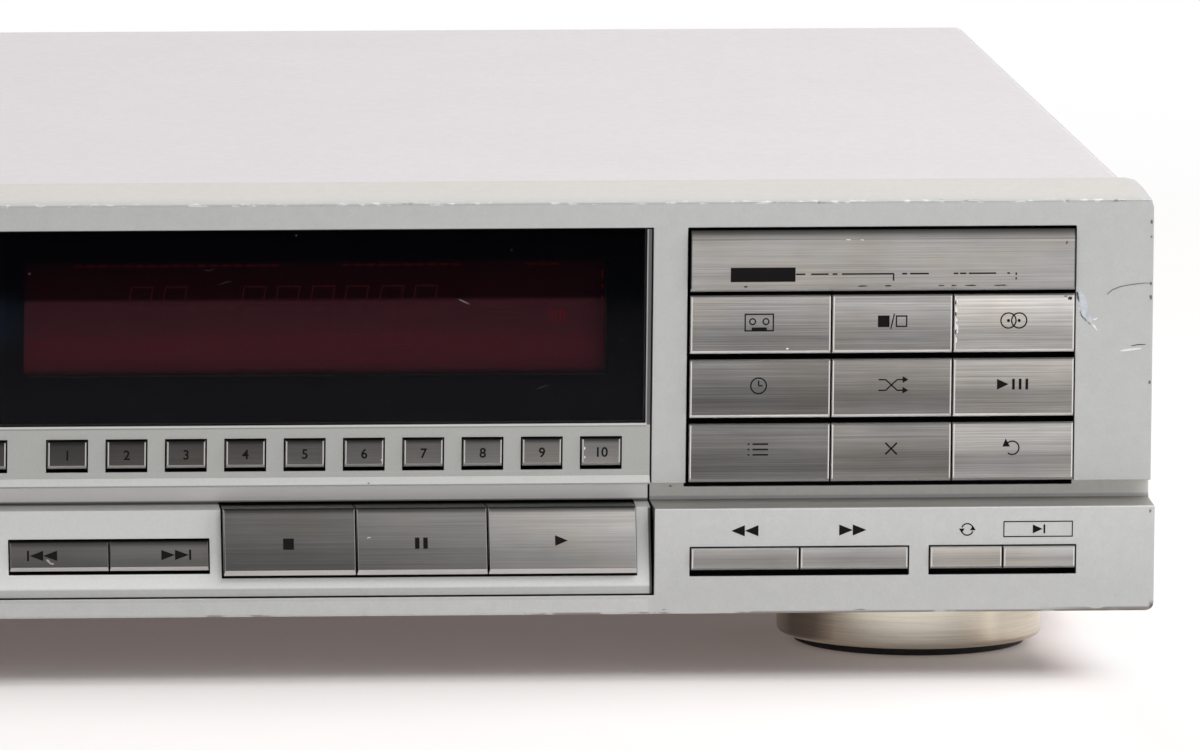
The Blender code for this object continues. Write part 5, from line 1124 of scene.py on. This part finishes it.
# Fittings, all in metres. SEAT is the gap that keeps a fitting off the face behind it.
SEAT = 0.00002
COVER_SCREW_DEPTHS = (-0.052, 0.092)
COVER_SCREW_HEIGHT = 0.0262
REAR_SCREWS = (
    (-0.203, 0.100), (-0.068, 0.100), (0.068, 0.100), (0.203, 0.100),
    (-0.203, 0.0222), (-0.02, 0.0222), (0.203, 0.0222),
)
SOCKET_SCREWS = ((-0.110, 0.0652), (0.1355, 0.0452), (0.1645, 0.0452))
SOCKET_HEIGHT = 0.0652
SOCKETS = (("red", -0.119, rgb(176, 26, 30)), ("white", -0.101, rgb(226, 224, 216)))
INSULATOR = ((0.0045, 0), (0.0068, 0), (0.0068, 0.0007), (0.0065, 0.0010), (0.0045, 0.0010))
SLEEVE = (
    (0.00426, 0.0011), (0.0049, 0.0011), (0.0049, 0.0022), (0.00468, 0.0024), (0.00468, 0.0075), (0.0045, 0.0078),
    (0.00426, 0.0078),
)
JACK_RING = ((0.0035, 0), (0.0046, 0), (0.0046, 0.0003), (0.0043, 0.0005), (0.0037, 0.0005), (0.0035, 0.0003))
# The lens, with its heights above the sled's top
LENS_X = -0.124
LENS_DOME = ((0, -0.0004), (0.0031, -0.0004), (0.0031, 0), (0.0026, 0.0001), (0.0015, 0.00035), (0, 0.0004))


def fittings():
    """Screws, socket rings and sleeves, the jack's metal ring and the pickup's lens."""
    zinc = plated("screw_zinc", grey(196), 0.3)
    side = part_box("top_cover")[1][0] + SEAT
    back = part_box("rear_panel")[1][1] + SEAT
    number = 0
    for x, turn in ((side, TO_RIGHT), (-side, TO_LEFT)):
        for y in COVER_SCREW_DEPTHS:
            number += 1
            screw(f"cover_screw_{number}", (x, y, COVER_SCREW_HEIGHT), turn, 0.0036, zinc)
    for kind, radius, places in (("rear", 0.0030, REAR_SCREWS), ("socket", 0.0020, SOCKET_SCREWS)):
        for i, (x, z) in enumerate(places, 1):
            screw(f"{kind}_screw_{i}", (x, back, z), TO_REAR, radius, zinc)
    nickel = plated("nickel", rgb(214, 210, 200), 0.22, 1.0)
    for name, x, tint in SOCKETS:
        turned = Matrix.Translation((x, back, SOCKET_HEIGHT)) @ TO_REAR
        for part, profile, look, slot in (
            ("insulator", INSULATOR, plastic(f"socket_{name}", tint, 0.4, 0.03), "black_plastic"),
            ("sleeve", SLEEVE, nickel, "steel"),
        ):
            bm = lathe(profile, sides=48, closed=True)
            bm.transform(turned)
            place_piece(f"socket_{part}_{name}", bm, look, "chassis", slot)
    lo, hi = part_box("headphone_jack")
    bm = lathe(JACK_RING, sides=64, closed=True)
    bm.transform(Matrix.Translation(((lo[0] + hi[0]) / 2, lo[1] + 0.00035, (lo[2] + hi[2]) / 2)) @ TO_FRONT)
    place_piece("jack_ring", bm, nickel, "chassis", "steel")
    lo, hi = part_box("pickup_sled")
    glass = Look("lens_glass", 0.05, 0.0, 0.6)
    glass.colour(glass.varied(rgb(70, 62, 120), 0.2, 900.0))
    dome = [(radius, hi[2] + up) for radius, up in LENS_DOME]
    lens = lathe(dome, (LENS_X, (lo[1] + hi[1]) / 2), 40)
    place_piece("pickup_lens", lens, glass, "pickup_sled", "tube_glass", True)


# A foot, in metres: where its ring's lower edge rounds over, its widest height, and the pad under it
RING_LOW = 0.0019
RING_INNER = 0.0264
RING_ROUND = (0.0014, 0.0015)
RING_SHOULDER = 0.0152
SOLE = ((0, 0.0), (0.0250, 0.0), (0.0258, 0.0003), (0.0262, 0.0009), (0.0262, 0.0018), (0, 0.0018))


def feet():
    """Turned metal rings on plastic pads, in place of the plain feet."""
    metal = foot_look()
    pad = plastic("foot_pad", rgb(30, 27, 26), 0.8)
    for row in ("front", "rear"):
        for side in ("left", "right"):
            node = f"foot_{row}_{side}"
            lo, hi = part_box(node)
            centre = (lo[0] + hi[0]) / 2, (lo[1] + hi[1]) / 2
            radius = (hi[0] - lo[0]) / 2
            wide, high = RING_ROUND
            turns = [math.pi / 12 * i for i in range(7)]
            curve = [(radius - wide * (1 - math.sin(a)), RING_LOW + high * (1 - math.cos(a))) for a in turns]
            top = ((radius, RING_SHOULDER), (radius - 0.0004, hi[2]), (0, hi[2]))
            profile = ((0, RING_LOW), (RING_INNER, RING_LOW), *curve, *top)
            made = place_piece(node + "_ring", lathe(profile, centre), metal, "chassis", "foot_metal", True)
            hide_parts(node)
            made.modifiers.new("edges", "EDGE_SPLIT").split_angle = math.radians(25)
            place_piece(node + "_pad", lathe(SOLE, centre), pad, "chassis", "black_plastic", True)


make_camera()
make_world()
for lamp_name, lamp_facts in LAMPS.items():
    make_lamp(lamp_name, *lamp_facts)
make_floor()
dress_solids()
signs()
marks()
window_mask()
tube_marks()
window_marks()
fittings()
feet()
bpy.context.scene.view_settings.view_transform = "Standard"
